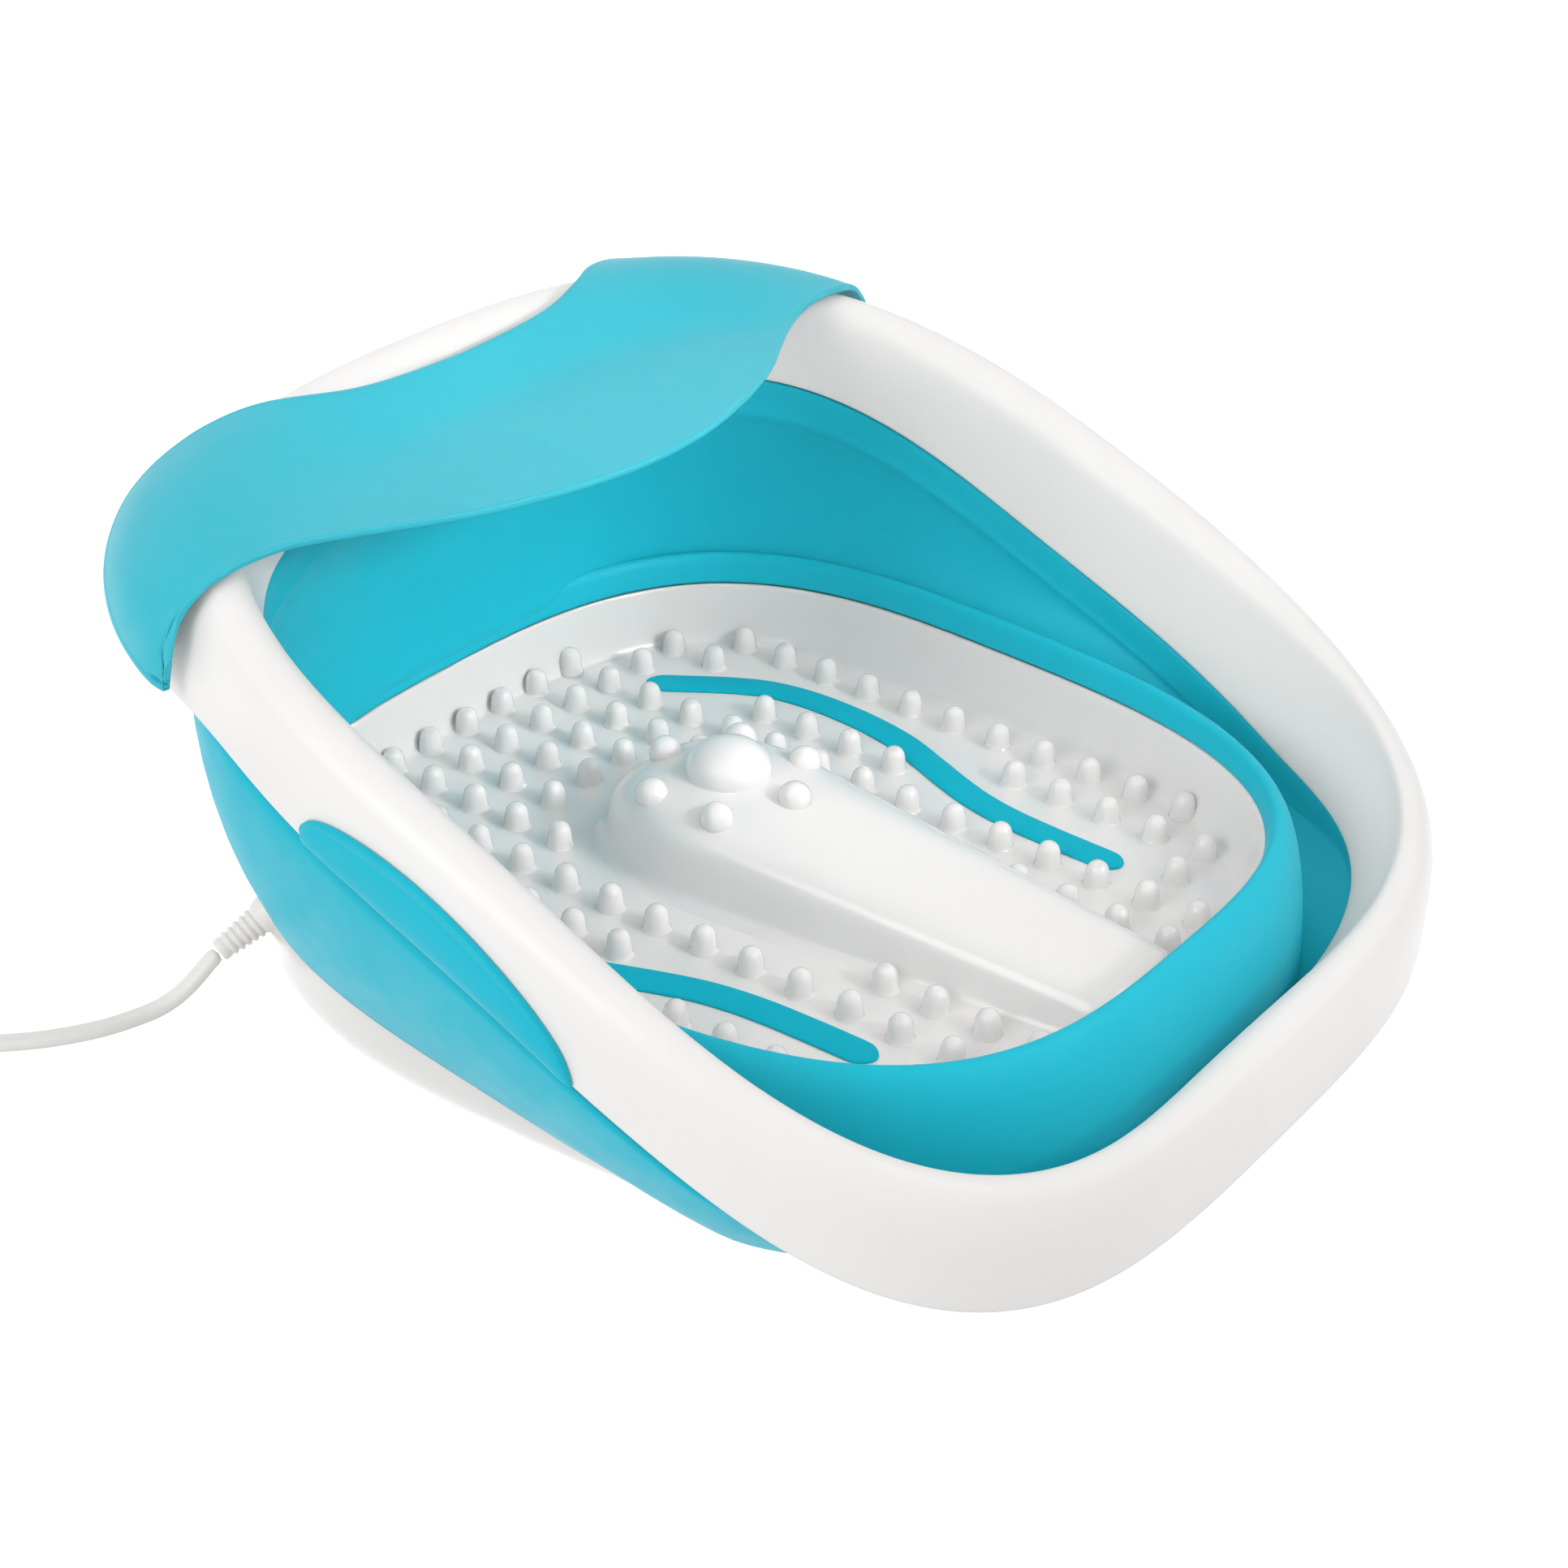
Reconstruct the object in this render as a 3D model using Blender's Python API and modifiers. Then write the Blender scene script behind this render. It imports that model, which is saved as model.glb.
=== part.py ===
"""Collapsible foot spa: a white foot basin on a white base, a turquoise folding wall, a white rim that
tilts down about the heel to fold the spa flat, a lift-off splash guard and a mains cord.
Metres, +Z up, +Y the toe end with the splash guard, -Y the heel end. The origin is on the floor, in the
middle of the object without its cord."""

import math

import bmesh
import bpy
from mathutils import Matrix, Vector

# Stations round every closed ring, and the clearance between neighbouring pieces
STATIONS = 48
GAP = 0.0003
CUT_OVERRUN = 0.004

# Rim: the line of its rounded crest, seen from above
RIM_HALF_WIDTH = 0.187
RIM_CENTRE_Y = 0.0025
RIM_TOE_LENGTH = 0.183
RIM_HEEL_LENGTH = 0.188
RIM_TOE_POWER = 2.75
RIM_HEEL_POWER = 3.2
# Rim: how high the middle of the crest's rounding stands at the toe, beside the foot and at the heel
RIM_TOE_HEIGHT = 0.1985
RIM_SIDE_HEIGHT = 0.145
RIM_HEEL_HEIGHT = 0.053
# Rim: its section, measured from the middle of the crest's rounding
CREST_RADIUS = 0.012
RIM_WALL = 0.0028
INNER_EDGE_SET = 0.016
INNER_EDGE_DROP = 0.0355
TOE_EDGE_DROP = 0.025
HEEL_EDGE_SET = 0.019
HEEL_EDGE_DROP = 0.015
SKIRT_SET = 0.0105
SKIRT_EDGE_DROP = 0.008
SKIRT_DROP = 0.028
HEEL_CORNER_DROP = 0.005
HEEL_CORNER_SET = 0.003
CORNER_FLARE = 0.016
CORNER_FLARE_POWER = 9
CORNER_EDGE_DROP = 0.005
CLAMP_WIDTH = 0.005
CLAMP_HEIGHT = 0.004

# Basin: the white wall's upper edge, seen from above, and its heights
BASIN_HALF_WIDTH = 0.1475
BASIN_CENTRE_Y = 0.0220
BASIN_TOE_LENGTH = 0.155
BASIN_HEEL_LENGTH = 0.170
BASIN_TOE_POWER = 2.9
BASIN_HEEL_POWER = 3.2
BASIN_TAPER_LENGTH = 2.6
BASIN_EDGE_HEIGHT = 0.0745
FLOOR_HEIGHT = 0.0492
FLOOR_INSET = 0.0145
TRAY_WALL = 0.0025

# Collar: the turquoise lower wall moulded over the basin's edge
COLLAR_TOP_HEIGHT = 0.0875
COLLAR_HEEL_HEIGHT = 0.0840
COLLAR_REACH = 0.0085
COLLAR_SKIRT = 0.0019
SEAM_TOE_HEIGHT = 0.0520
SEAM_HEEL_HEIGHT = 0.0140
SEAM_LOW_Y = -0.075
SEAM_HIGH_Y = 0.130
SEAM_POWER = 0.8

# Folding wall: its outer leg runs from the seam on the base up and out to the rim's skirt, and in under the rim
FOLD_THICKNESS = 0.0025
FOLD_BULGE = 0.006
SHOULDER_SET = 0.006
HEEL_SHOULDER_SET = 0.010
HEEL_SHOULDER_DROP = 0.022
# Its inner leg: a short band under the rim's inner edge, then back and down to the groove round the collar
BAND_HEIGHT = 0.015
HEEL_BAND_HEIGHT = 0.002
BAND_CLEARANCE = 0.006
FOLD_HOLLOW = 0.005
INNER_LEG_THICKNESS = 0.0018
GROOVE_DEPTH = 0.010
GROOVE_TOE_DEPTH = 0.0045
GROOVE_TOE_Y = 0.160
GROOVE_RUN = 0.120

# Base housing under the basin
SHELL_WALL = 0.002
SHELL_BOTTOM_HEIGHT = 0.0040
SHELL_CORNER_RADIUS = 0.030
FLANGE_WIDTH = 0.010
COVER_THICKNESS = 0.0025
FOOT_DIAMETER = 0.018
FOOT_X = 0.092
FOOT_TOE_Y = 0.105
FOOT_HEEL_Y = -0.078
SCREW_HEAD_DIAMETER = 0.0070
SCREW_SHANK_DIAMETER = 0.0034
SCREW_LENGTH = 0.012
SCREW_HEAD_HEIGHT = 0.0016
SCREW_X = 0.060
SCREW_TOE_Y = 0.128
SCREW_HEEL_Y = -0.100

# Massage pegs: a lattice with the ridge's line in its middle
PEG_PITCH = 0.021
PEG_PITCH_ACROSS = 0.0206
PEG_HEIGHT = 0.0098
PEG_BASE_DIAMETER = 0.0098
PEG_SIDES = 6
PEG_ROOT = 0.0015
PEG_FIRST_Y = 0.1695
# First and last row of each run of pegs, in each column counted from the middle
PEG_RUNS = {
    0: ((0, 3),),
    1: ((0, 3),),
    2: ((0, 4), (11, 14)),
    3: ((0, 14),),
    4: ((1, 1), (4, 7), (13, 13)),
    5: ((1, 2), (9, 13)),
    6: ((2, 12),),
}

# Foot ridge down the middle of the basin
RIDGE_HEIGHT = 0.0308
RIDGE_HEEL_HEIGHT = 0.0190
RIDGE_HALF_WIDTH = 0.0405
RIDGE_HEEL_HALF_WIDTH = 0.0245
RIDGE_NOSE_Y = 0.0875
RIDGE_NOSE_LENGTH = 0.054
RIDGE_HEEL_Y = -0.128
RIDGE_WALL = 0.0028
RIDGE_ROOT = 0.0018
RIDGE_SECTION_POWER = 6
RIDGE_EDGE_POWER = 2.4

# Toe button on the ridge, its ring of six small domes, and what it presses
BUTTON_Y = 0.0392
BUTTON_DIAMETER = 0.032
BUTTON_DOME = 0.012
BUTTON_TRAVEL = 0.0025
BUTTON_SKIRT = 0.0075
BUTTON_STEM_DIAMETER = 0.006
DOME_RING_RADIUS = 0.030
DOME_DIAMETER = 0.0125
DOME_RISE = 0.0073
SWITCH_SIDE = 0.0062
SWITCH_HEIGHT = 0.0050
BOARD_LENGTH = 0.060
BOARD_WIDTH = 0.034
BOARD_THICKNESS = 0.0016
BOARD_HEIGHT = 0.0560
SPRING_DIAMETER = 0.0125
SPRING_WIRE = 0.0009
SPRING_TURNS = 3

# Turquoise strips let into the floor beside the ridge: middle line of the one on the +X side
STRIP_WIDTH = 0.011
STRIP_THICKNESS = 0.0012
STRIP_LENGTH = 0.2165
STRIP_TOE_Y = 0.1365
STRIP_FAR_X = 0.1053
STRIP_SWING = 0.0280
# Share of the length from the toe, and share of the swing inwards
STRIP_COURSE_SHARES = (
    (0.00, 1.03),
    (0.05, 0.75),
    (0.11, 0.42),
    (0.175, 0.15),
    (0.25, 0.02),
    (0.33, 0.00),
    (0.41, 0.05),
    (0.49, 0.18),
    (0.57, 0.42),
    (0.64, 0.64),
    (0.71, 0.82),
    (0.79, 0.93),
    (0.89, 0.98),
    (1.00, 1.00),
)

# Heater plate and vibration motor under the basin's floor
HEATER_X = 0.078
HEATER_Y = 0.030
HEATER_WIDTH = 0.070
HEATER_LENGTH = 0.150
HEATER_THICKNESS = 0.0030
MOTOR_X = -0.082
MOTOR_Y = 0.020
# The motor's diameter and the height of its axis, as shares of the room between the cover and the floor
MOTOR_DIAMETER_SHARE = 0.597
MOTOR_AXIS_SHARE = 0.485
MOTOR_ROOM_LOW = SHELL_BOTTOM_HEIGHT + COVER_THICKNESS
MOTOR_ROOM = FLOOR_HEIGHT - TRAY_WALL - MOTOR_ROOM_LOW
MOTOR_DIAMETER = MOTOR_ROOM * MOTOR_DIAMETER_SHARE
MOTOR_AXIS_HEIGHT = MOTOR_ROOM_LOW + MOTOR_ROOM * MOTOR_AXIS_SHARE
MOTOR_LENGTH = 0.038
MOTOR_SHAFT_DIAMETER = 0.003
MOTOR_SHAFT_LENGTH = 0.012
SADDLE_WALL = 0.003
SADDLE_WIDTH = 0.022
# The weight's radius as a share of the motor's diameter
WEIGHT_RADIUS = MOTOR_DIAMETER * 0.396
WEIGHT_THICKNESS = 0.007
WEIGHT_CLEARANCE = 0.0025

# Grips: turquoise half-moon pads on the rim's skirt
GRIP_TOE_Y = 0.0550
GRIP_HEEL_Y = -0.0545
GRIP_RISE = 0.024
GRIP_END_RISE = 0.0025
GRIP_THICKNESS = 0.0026
GRIP_STATIONS = 12
GRIP_ROWS = 4

# Splash guard: a thin sheet over the toe end of the rim, its lengths measured with the sheet laid flat
GUARD_THICKNESS = 0.0022
GUARD_TIP_X = 0.208
GUARD_TIP_Y = 0.1315
GUARD_LOBE_Y = 0.192
GUARD_INNER_Y = 0.0675
GUARD_INNER_HEIGHT = 0.1960
GUARD_LIFT = 0.0020
# It bends down over the crest, tightly at the tips and widely at the toe
GUARD_TIP_BEND = 0.019
GUARD_LOBE_BEND = 0.040
GUARD_BEND_START_Y = 0.113
GUARD_BEND_END_Y = 0.161
GUARD_BEND_POWER = 0.6
GUARD_UP = Vector((0, 0, 1))
GUARD_COLUMNS = 32
GUARD_ROWS = 10
# Outer edge, from the middle to the tip: shares of the tip's distance from the middle, then shares of the
# way from the tip's line to the lobe's line
GUARD_OUTER_SHARES = (
    (0.000, 0.711),
    (0.216, 0.793),
    (0.361, 0.860),
    (0.466, 0.906),
    (0.587, 0.979),
    (0.678, 1.000),
    (0.760, 0.909),
    (0.832, 0.752),
    (0.894, 0.554),
    (0.942, 0.364),
    (0.976, 0.198),
    (0.995, 0.083),
    (1.000, 0.000),
)
# Inner edge, from the middle to the tip: shares as above, the second from the tip's line to the inner line
GUARD_INNER_SHARES = (
    (0.000, 1.000),
    (0.106, 0.977),
    (0.212, 0.906),
    (0.317, 0.805),
    (0.418, 0.672),
    (0.510, 0.508),
    (0.596, 0.367),
    (0.683, 0.289),
    (0.760, 0.258),
    (0.827, 0.250),
    (0.894, 0.211),
    (0.957, 0.109),
    (0.990, 0.016),
)

# Collapse: the rim tilts down about a line under the heel groove
HINGE_Y = -0.1555
HINGE_HEIGHT = 0.030

# Mains cord
CORD_DIAMETER = 0.0074
CORD_EXIT = Vector((-0.1229, 0.1545, 0.0320))
CORD_EXIT_WAY = Vector((-0.80, 0.35, -0.48)).normalized()
RELIEF_LENGTH = 0.0230
RELIEF_BASE_DIAMETER = 0.0150
RELIEF_TIP_DIAMETER = 0.0098
RELIEF_FLANGE_DIAMETER = 0.019
RELIEF_FLANGE_THICKNESS = 0.002
# Route of the free stretch after the strain relief, on the floor from its fourth point on
CORD_ROUTE = (
    (-0.1489, 0.1658, 0.0141),
    (-0.1561, 0.1689, 0.0077),
    (-0.1640, 0.1718, 0.0045),
    (-0.1720, 0.1745, 0.0039),
    (-0.1848, 0.1790, 0.0039),
    (-0.2004, 0.1882, 0.0041),
    (-0.2142, 0.1990, 0.0048),
    (-0.2290, 0.2130, 0.0058),
    (-0.2440, 0.2275, 0.0058),
    (-0.2590, 0.2420, 0.0058),
)
COIL_TURNS_PER_LAYER = 3
COIL_MIDDLE_RADIUS = 0.0420
COIL_PITCH = 0.0081
COIL_LIFT = 0.0021
TIE_THICKNESS = 0.0010
TIE_WIDTH = 0.009
TIE_CLEARANCE = 0.0004
LEAD_OUT_LENGTH = 0.080
LEAD_OUT_STEPS = 6
# Shares of the lead-out where it starts and ends its way down to the floor
LEAD_OUT_DOWN_SHARES = (0.25, 0.92)
PLUG_LENGTH = 0.036
PLUG_WIDTH = 0.025
PLUG_THICKNESS = 0.0145
BLADE_LENGTH = 0.017
BLADE_WIDTH = 0.0063
BLADE_THICKNESS = 0.0015
BLADE_SPACING = 0.0127

COLOURS = {
    "white": (0.90, 0.90, 0.90, 1.0),
    "turquoise": (0.07, 0.50, 0.62, 1.0),
    "rubber": (0.55, 0.56, 0.56, 1.0),
    "steel": (0.60, 0.60, 0.61, 1.0),
    "aluminium": (0.72, 0.73, 0.74, 1.0),
    "board": (0.03, 0.20, 0.09, 1.0),
    "cord": (0.80, 0.80, 0.79, 1.0),
}


def clear_scene():
    for obj in list(bpy.data.objects):
        bpy.data.objects.remove(obj, do_unlink=True)


clear_scene()
PARTS = bpy.data.collections.new("collapsible_foot_spa")
CUTTERS = bpy.data.collections.new("cutters")
bpy.context.scene.collection.children.link(PARTS)
bpy.context.scene.collection.children.link(CUTTERS)


def material(name, colour, roughness, metallic=0.0):
    found = bpy.data.materials.new(name)
    found.use_nodes = True
    shader = found.node_tree.nodes["Principled BSDF"]
    shader.inputs["Base Color"].default_value = COLOURS[colour]
    shader.inputs["Roughness"].default_value = roughness
    shader.inputs["Metallic"].default_value = metallic
    return found


def object_from(mesh_data, name, look, collection=None):
    """A named object of a finished bmesh, with its faces turned outwards."""
    bmesh.ops.recalc_face_normals(mesh_data, faces=mesh_data.faces)
    mesh = bpy.data.meshes.new(name)
    mesh_data.to_mesh(mesh)
    mesh_data.free()
    mesh.shade_smooth()
    mesh.set_sharp_from_angle(angle=math.radians(40))
    obj = bpy.data.objects.new(name, mesh)
    (collection or PARTS).objects.link(obj)
    if collection is CUTTERS:
        obj.hide_render = True
        obj.display_type = "WIRE"
    else:
        mesh.materials.append(look)
    return obj


def cut(obj, cutter, operation="DIFFERENCE"):
    modifier = obj.modifiers.new(cutter.name, "BOOLEAN")
    modifier.operation = operation
    modifier.object = cutter


def smooth_step(value):
    value = min(1.0, max(0.0, value))
    return value * value * (3 - 2 * value)


def mix(a, b, share):
    return a + (b - a) * share


# Outlines seen from above


def signed_power(value, power):
    return math.copysign(abs(value) ** power, value)


def rim_line(angle):
    """The crest's line, from the toe (angle 0) by +X to the heel (pi) and back."""
    toe = math.cos(angle) >= 0
    power = 2 / (RIM_TOE_POWER if toe else RIM_HEEL_POWER)
    reach = RIM_TOE_LENGTH if toe else RIM_HEEL_LENGTH
    x = RIM_HALF_WIDTH * signed_power(math.sin(angle), power)
    y = RIM_CENTRE_Y + reach * signed_power(math.cos(angle), power)
    return Vector((x, y, 0))


def basin_line(angle):
    """The upper edge of the basin's white wall."""
    toe = math.cos(angle) >= 0
    power = 2 / (BASIN_TOE_POWER if toe else BASIN_HEEL_POWER)
    reach = BASIN_TOE_LENGTH if toe else BASIN_HEEL_LENGTH
    along = reach * signed_power(math.cos(angle), power)
    x = BASIN_HALF_WIDTH * signed_power(math.sin(angle), power) * (1 + along / BASIN_TAPER_LENGTH)
    return Vector((x, BASIN_CENTRE_Y + along, 0))


def outward(line, angle):
    """Unit vector square to a line and away from its inside."""
    step = math.pi / 360
    along = line(angle + step) - line(angle - step)
    return Vector((along.y, -along.x, 0)).normalized() * -1


def station_angles():
    return [2 * math.pi * (i + 0.5) / STATIONS for i in range(STATIONS)]


def rim_height(y):
    """The parabola through the crest's three stated heights."""
    heel_y = RIM_CENTRE_Y - RIM_HEEL_LENGTH
    toe_y = RIM_CENTRE_Y + RIM_TOE_LENGTH
    first = (RIM_SIDE_HEIGHT - RIM_HEEL_HEIGHT) / (RIM_CENTRE_Y - heel_y)
    second = (RIM_TOE_HEIGHT - RIM_SIDE_HEIGHT) / (toe_y - RIM_CENTRE_Y)
    bend = (second - first) / (toe_y - heel_y)
    return RIM_HEEL_HEIGHT + first * (y - heel_y) + bend * (y - heel_y) * (y - RIM_CENTRE_Y)


def seam_height(y):
    """Where the turquoise skirt of the collar ends on the white base, outside."""
    share = min(1.0, max(0.0, (y - SEAM_LOW_Y) / (SEAM_HIGH_Y - SEAM_LOW_Y)))
    return mix(SEAM_HEEL_HEIGHT, SEAM_TOE_HEIGHT, share**SEAM_POWER)


def heel_share(y):
    """0 beside the foot, 1 at the rim's heel end."""
    heel_y = RIM_CENTRE_Y - RIM_HEEL_LENGTH
    return smooth_step(1 - (y - heel_y) / (RIM_HEEL_LENGTH / 2))


def toe_share(y):
    """0 beside the foot, 1 at the rim's toe corners."""
    return smooth_step((y - RIM_CENTRE_Y) / (RIM_TOE_LENGTH * 0.75))


# Lofts


def loft(name, rings, look, closed=True, collection=None):
    """Joins rings of as many points each. A closed loft comes back to its first ring; an open one is capped."""
    mesh = bmesh.new()
    rows = [[mesh.verts.new(point) for point in ring] for ring in rings]
    pairs = list(zip(rows, rows[1:] + rows[:1] if closed else rows[1:]))
    for first, second in pairs:
        for i in range(len(first)):
            j = (i + 1) % len(first)
            mesh.faces.new((first[i], first[j], second[j], second[i]))
    if not closed:
        mesh.faces.new(rows[0])
        mesh.faces.new(rows[-1])
    return object_from(mesh, name, look, collection)


def ring_of(line, angle, section):
    """A section of (outward offset, height) points at one station of a line."""
    base = line(angle)
    away = outward(line, angle)
    return [base + away * offset + Vector((0, 0, height)) for offset, height in section]


def offset_path(path, distance):
    """Points of a plane path moved to its right-hand side."""
    moved = []
    for i, point in enumerate(path):
        before = path[max(i - 1, 0)]
        after = path[min(i + 1, len(path) - 1)]
        along = Vector((after[0] - before[0], after[1] - before[1])).normalized()
        moved.append((point[0] + along.y * distance, point[1] - along.x * distance))
    return moved


def cylinder(name, diameter, depth, centre, look, sides=16, axis=None, collection=None, tip=None):
    """A cylinder, or a cone where tip gives its far diameter, along an axis (+Z by default)."""
    mesh = bmesh.new()
    bmesh.ops.create_cone(
        mesh,
        cap_ends=True,
        segments=sides,
        radius1=diameter / 2,
        radius2=(tip or diameter) / 2,
        depth=depth,
    )
    turn = Vector((0, 0, 1)).rotation_difference(axis).to_matrix().to_4x4() if axis else Matrix()
    bmesh.ops.transform(mesh, matrix=Matrix.Translation(centre) @ turn, verts=mesh.verts)
    return object_from(mesh, name, look, collection)


def box(name, size, centre, look, collection=None, bevel=0.0):
    mesh = bmesh.new()
    bmesh.ops.create_cube(mesh, size=1.0, matrix=Matrix.Diagonal((*size, 1)))
    bmesh.ops.translate(mesh, vec=centre, verts=mesh.verts)
    obj = object_from(mesh, name, look, collection)
    if bevel:
        edge = obj.modifiers.new("rounded edges", "BEVEL")
        edge.width = bevel
        edge.segments = 2
    return obj


# Rim


def rim_outer_path(angle):
    """The rim's outside, from its inner lower edge over the crest to the skirt's lower edge."""
    y = rim_line(angle).y
    heel = heel_share(y)
    corner = max(0.0, math.sin(2 * min(angle, 2 * math.pi - angle))) if math.cos(angle) > 0 else 0.0
    inner_set = mix(INNER_EDGE_SET, HEEL_EDGE_SET, heel)
    inner_drop = mix(mix(INNER_EDGE_DROP, TOE_EDGE_DROP, toe_share(y)), HEEL_EDGE_DROP, heel)
    heel_corner = max(0.0, -math.sin(2 * min(angle, 2 * math.pi - angle)))
    flare = CORNER_FLARE * corner**CORNER_FLARE_POWER + HEEL_CORNER_SET * heel_corner**2
    edge_drop = SKIRT_EDGE_DROP + CORNER_EDGE_DROP * corner
    height = rim_height(y)
    path = [(-inner_set, -inner_drop), (-mix(CREST_RADIUS, inner_set, 0.45), -inner_drop * 0.45)]
    for degrees in (160, 125, 90, 60):
        turn = math.radians(degrees)
        path.append((CREST_RADIUS * math.cos(turn), CREST_RADIUS * math.sin(turn)))
    shoulder = CREST_RADIUS * math.cos(math.radians(30))
    path.append((mix(shoulder, SKIRT_SET + flare, 0.35), mix(CREST_RADIUS / 2, -edge_drop, 0.2)))
    path.append((SKIRT_SET + flare, -edge_drop))
    path.append((SKIRT_SET + flare - RIM_WALL / 4, -SKIRT_DROP - HEEL_CORNER_DROP * heel_corner**2))
    return [(offset, height + rise) for offset, rise in path]


def build_rim(look):
    rings = []
    for angle in station_angles():
        outer = rim_outer_path(angle)
        inner = offset_path(outer, RIM_WALL)
        inner[0] = (outer[0][0] + RIM_WALL, outer[0][1])
        inner[-1] = (outer[-1][0] - RIM_WALL, outer[-1][1])
        kept = [inner[i] for i in (0, 1, 3, 5, 7, 8)]
        rings.append(ring_of(rim_line, angle, outer + kept[::-1]))
    return loft("rim_shell", rings, look)


def build_rim_clamp(look):
    """The ring inside the rim that holds the folding wall's upper edge."""
    rings = []
    for angle in station_angles():
        offset, height = rim_outer_path(angle)[0]
        near = offset + RIM_WALL + GAP * 4
        low = height + GAP
        section = [
            (near, low),
            (near + CLAMP_WIDTH, low),
            (near + CLAMP_WIDTH, low + CLAMP_HEIGHT),
            (near + CLAMP_WIDTH / 3, low + CLAMP_HEIGHT),
        ]
        rings.append(ring_of(rim_line, angle, section))
    return loft("rim_clamp_ring", rings, look)


def build_grip(name, side, look):
    """A half-moon pad that follows the skirt, from its lower edge up."""

    def angle_at(y):
        low, high = 0.0, math.pi
        for _ in range(40):
            middle = (low + high) / 2
            low, high = (middle, high) if rim_line(middle).y > y else (low, middle)
        return low

    def point_at(path, distance):
        """The point and the outward normal at a distance up the skirt from its lower edge."""
        for first, second in zip(path[::-1], path[-2::-1]):
            run = Vector((second[0] - first[0], second[1] - first[1]))
            if distance <= run.length:
                way = run.normalized()
                spot = Vector(first) + way * distance
                return spot, Vector((way.y, -way.x))
            distance -= run.length
        return Vector(path[0]), Vector((1, 0))

    rings = []
    for i in range(GRIP_STATIONS + 1):
        across = 2 * i / GRIP_STATIONS - 1
        y = mix(GRIP_TOE_Y, GRIP_HEEL_Y, i / GRIP_STATIONS)
        rise = mix(GRIP_END_RISE, GRIP_RISE, math.sqrt(max(0.0, 1 - across * across)))
        angle = angle_at(y)
        path = rim_outer_path(angle)
        inner, outer = [], []
        for row in range(GRIP_ROWS + 1):
            spot, normal = point_at(path, rise * row / GRIP_ROWS)
            inner.append(spot + normal * GAP)
            outer.append(spot + normal * (GAP + GRIP_THICKNESS))
        ring = ring_of(rim_line, angle, inner + outer[::-1])
        rings.append([Vector((point.x * side, point.y, point.z)) for point in ring])
    return loft(name, rings, look, closed=False)


# Turquoise walls


def collar_top(y):
    heel_y = BASIN_CENTRE_Y - BASIN_HEEL_LENGTH
    return mix(COLLAR_TOP_HEIGHT, COLLAR_HEEL_HEIGHT, smooth_step(1 - (y - heel_y) / BASIN_HEEL_LENGTH))


def build_collar(look):
    rings = []
    for angle in station_angles():
        y = basin_line(angle).y
        foot = BASIN_EDGE_HEIGHT + GAP
        top = collar_top(y)
        rise = top - foot
        section = [
            (0, foot),
            (COLLAR_REACH * 0.06, foot + rise * 0.60),
            (COLLAR_REACH * 0.22, foot + rise * 0.90),
            (COLLAR_REACH * 0.45, top),
            (COLLAR_REACH * 0.75, foot + rise * 0.90),
            (COLLAR_REACH, foot + rise * 0.55),
        ]
        heights = skirt_heights(y)
        section += [(shell_offset(height), height) for height in heights[1:]]
        section += [(shell_offset(height) - COLLAR_SKIRT, height) for height in heights[:0:-1]]
        section.append((COLLAR_REACH - COLLAR_SKIRT, foot))
        rings.append(ring_of(basin_line, angle, section))
    return loft("collar_wall", rings, look)


def build_folding_wall(look):
    """A sheet up and out from the seam to the rim's skirt, in under the rim to its inner edge, down as a
    short band and back to the groove round the collar. It is open below, and its foot is turned in to the
    collar's skirt."""
    rings = []
    for angle in station_angles():
        rim_path = rim_outer_path(angle)
        edge_set, edge_height = rim_path[0]
        skirt_set, skirt_height = rim_path[-1]
        rim, base = rim_line(angle), basin_line(angle)
        heel = heel_share(rim.y)
        away, rim_away = outward(basin_line, angle), outward(rim_line, angle)

        def on_rim(offset, height):
            return rim + rim_away * offset + Vector((0, 0, height))

        foot = base + away * (COLLAR_REACH + GAP + FOLD_THICKNESS)
        foot.z = seam_height(base.y)
        low = skirt_height - GAP * 4
        shoulder = on_rim(
            mix(min(skirt_set, SKIRT_SET) - RIM_WALL / 4, -HEEL_SHOULDER_SET, heel),
            mix(low, rim_height(rim.y) - HEEL_SHOULDER_DROP, heel),
        )
        top = edge_height - GAP * 2
        turn = on_rim(mix(-SHOULDER_SET, mix(edge_set, -HEEL_SHOULDER_SET, 0.5), heel), top)
        end = on_rim(edge_set + GAP * 2, top)
        band = mix(BAND_HEIGHT, HEEL_BAND_HEIGHT, heel)
        crease = on_rim(edge_set + GAP * 2, top - band)
        sideways = smooth_step((GROOVE_TOE_Y - base.y) / GROOVE_RUN)
        groove = base + away * (COLLAR_REACH + GAP * 4)
        groove.z = collar_top(base.y) - mix(GROOVE_TOE_DEPTH, GROOVE_DEPTH, sideways)
        groove.z = min(groove.z, edge_height - band - BAND_CLEARANCE)
        outer = [foot]
        for share in (0.25, 0.5, 0.75):
            bulge = FOLD_BULGE * 4 * share * (1 - share) * (1 - heel)
            outer.append(foot.lerp(shoulder, share) + away * bulge)
        outer += [shoulder, turn, end, crease]
        outer.append(crease.lerp(groove, 0.5) + away * FOLD_HOLLOW * (1 - heel))
        outer.append(groove)
        down = Vector((0, 0, -FOLD_THICKNESS))
        under = [base + away * (shell_offset(foot.z) + GAP) + Vector((0, 0, foot.z))]
        under += [point - away * FOLD_THICKNESS for point in outer[1:4]]
        under.append(shoulder - away * FOLD_THICKNESS + down * 0.6)
        under.append(turn + down)
        under.append(end + down + rim_away * FOLD_THICKNESS)
        under.append(crease + rim_away * FOLD_THICKNESS)
        under += [point + away * INNER_LEG_THICKNESS for point in outer[8:]]
        rings.append(outer + under[::-1])
    return loft("folding_wall", rings, look)


# Basin


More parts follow.
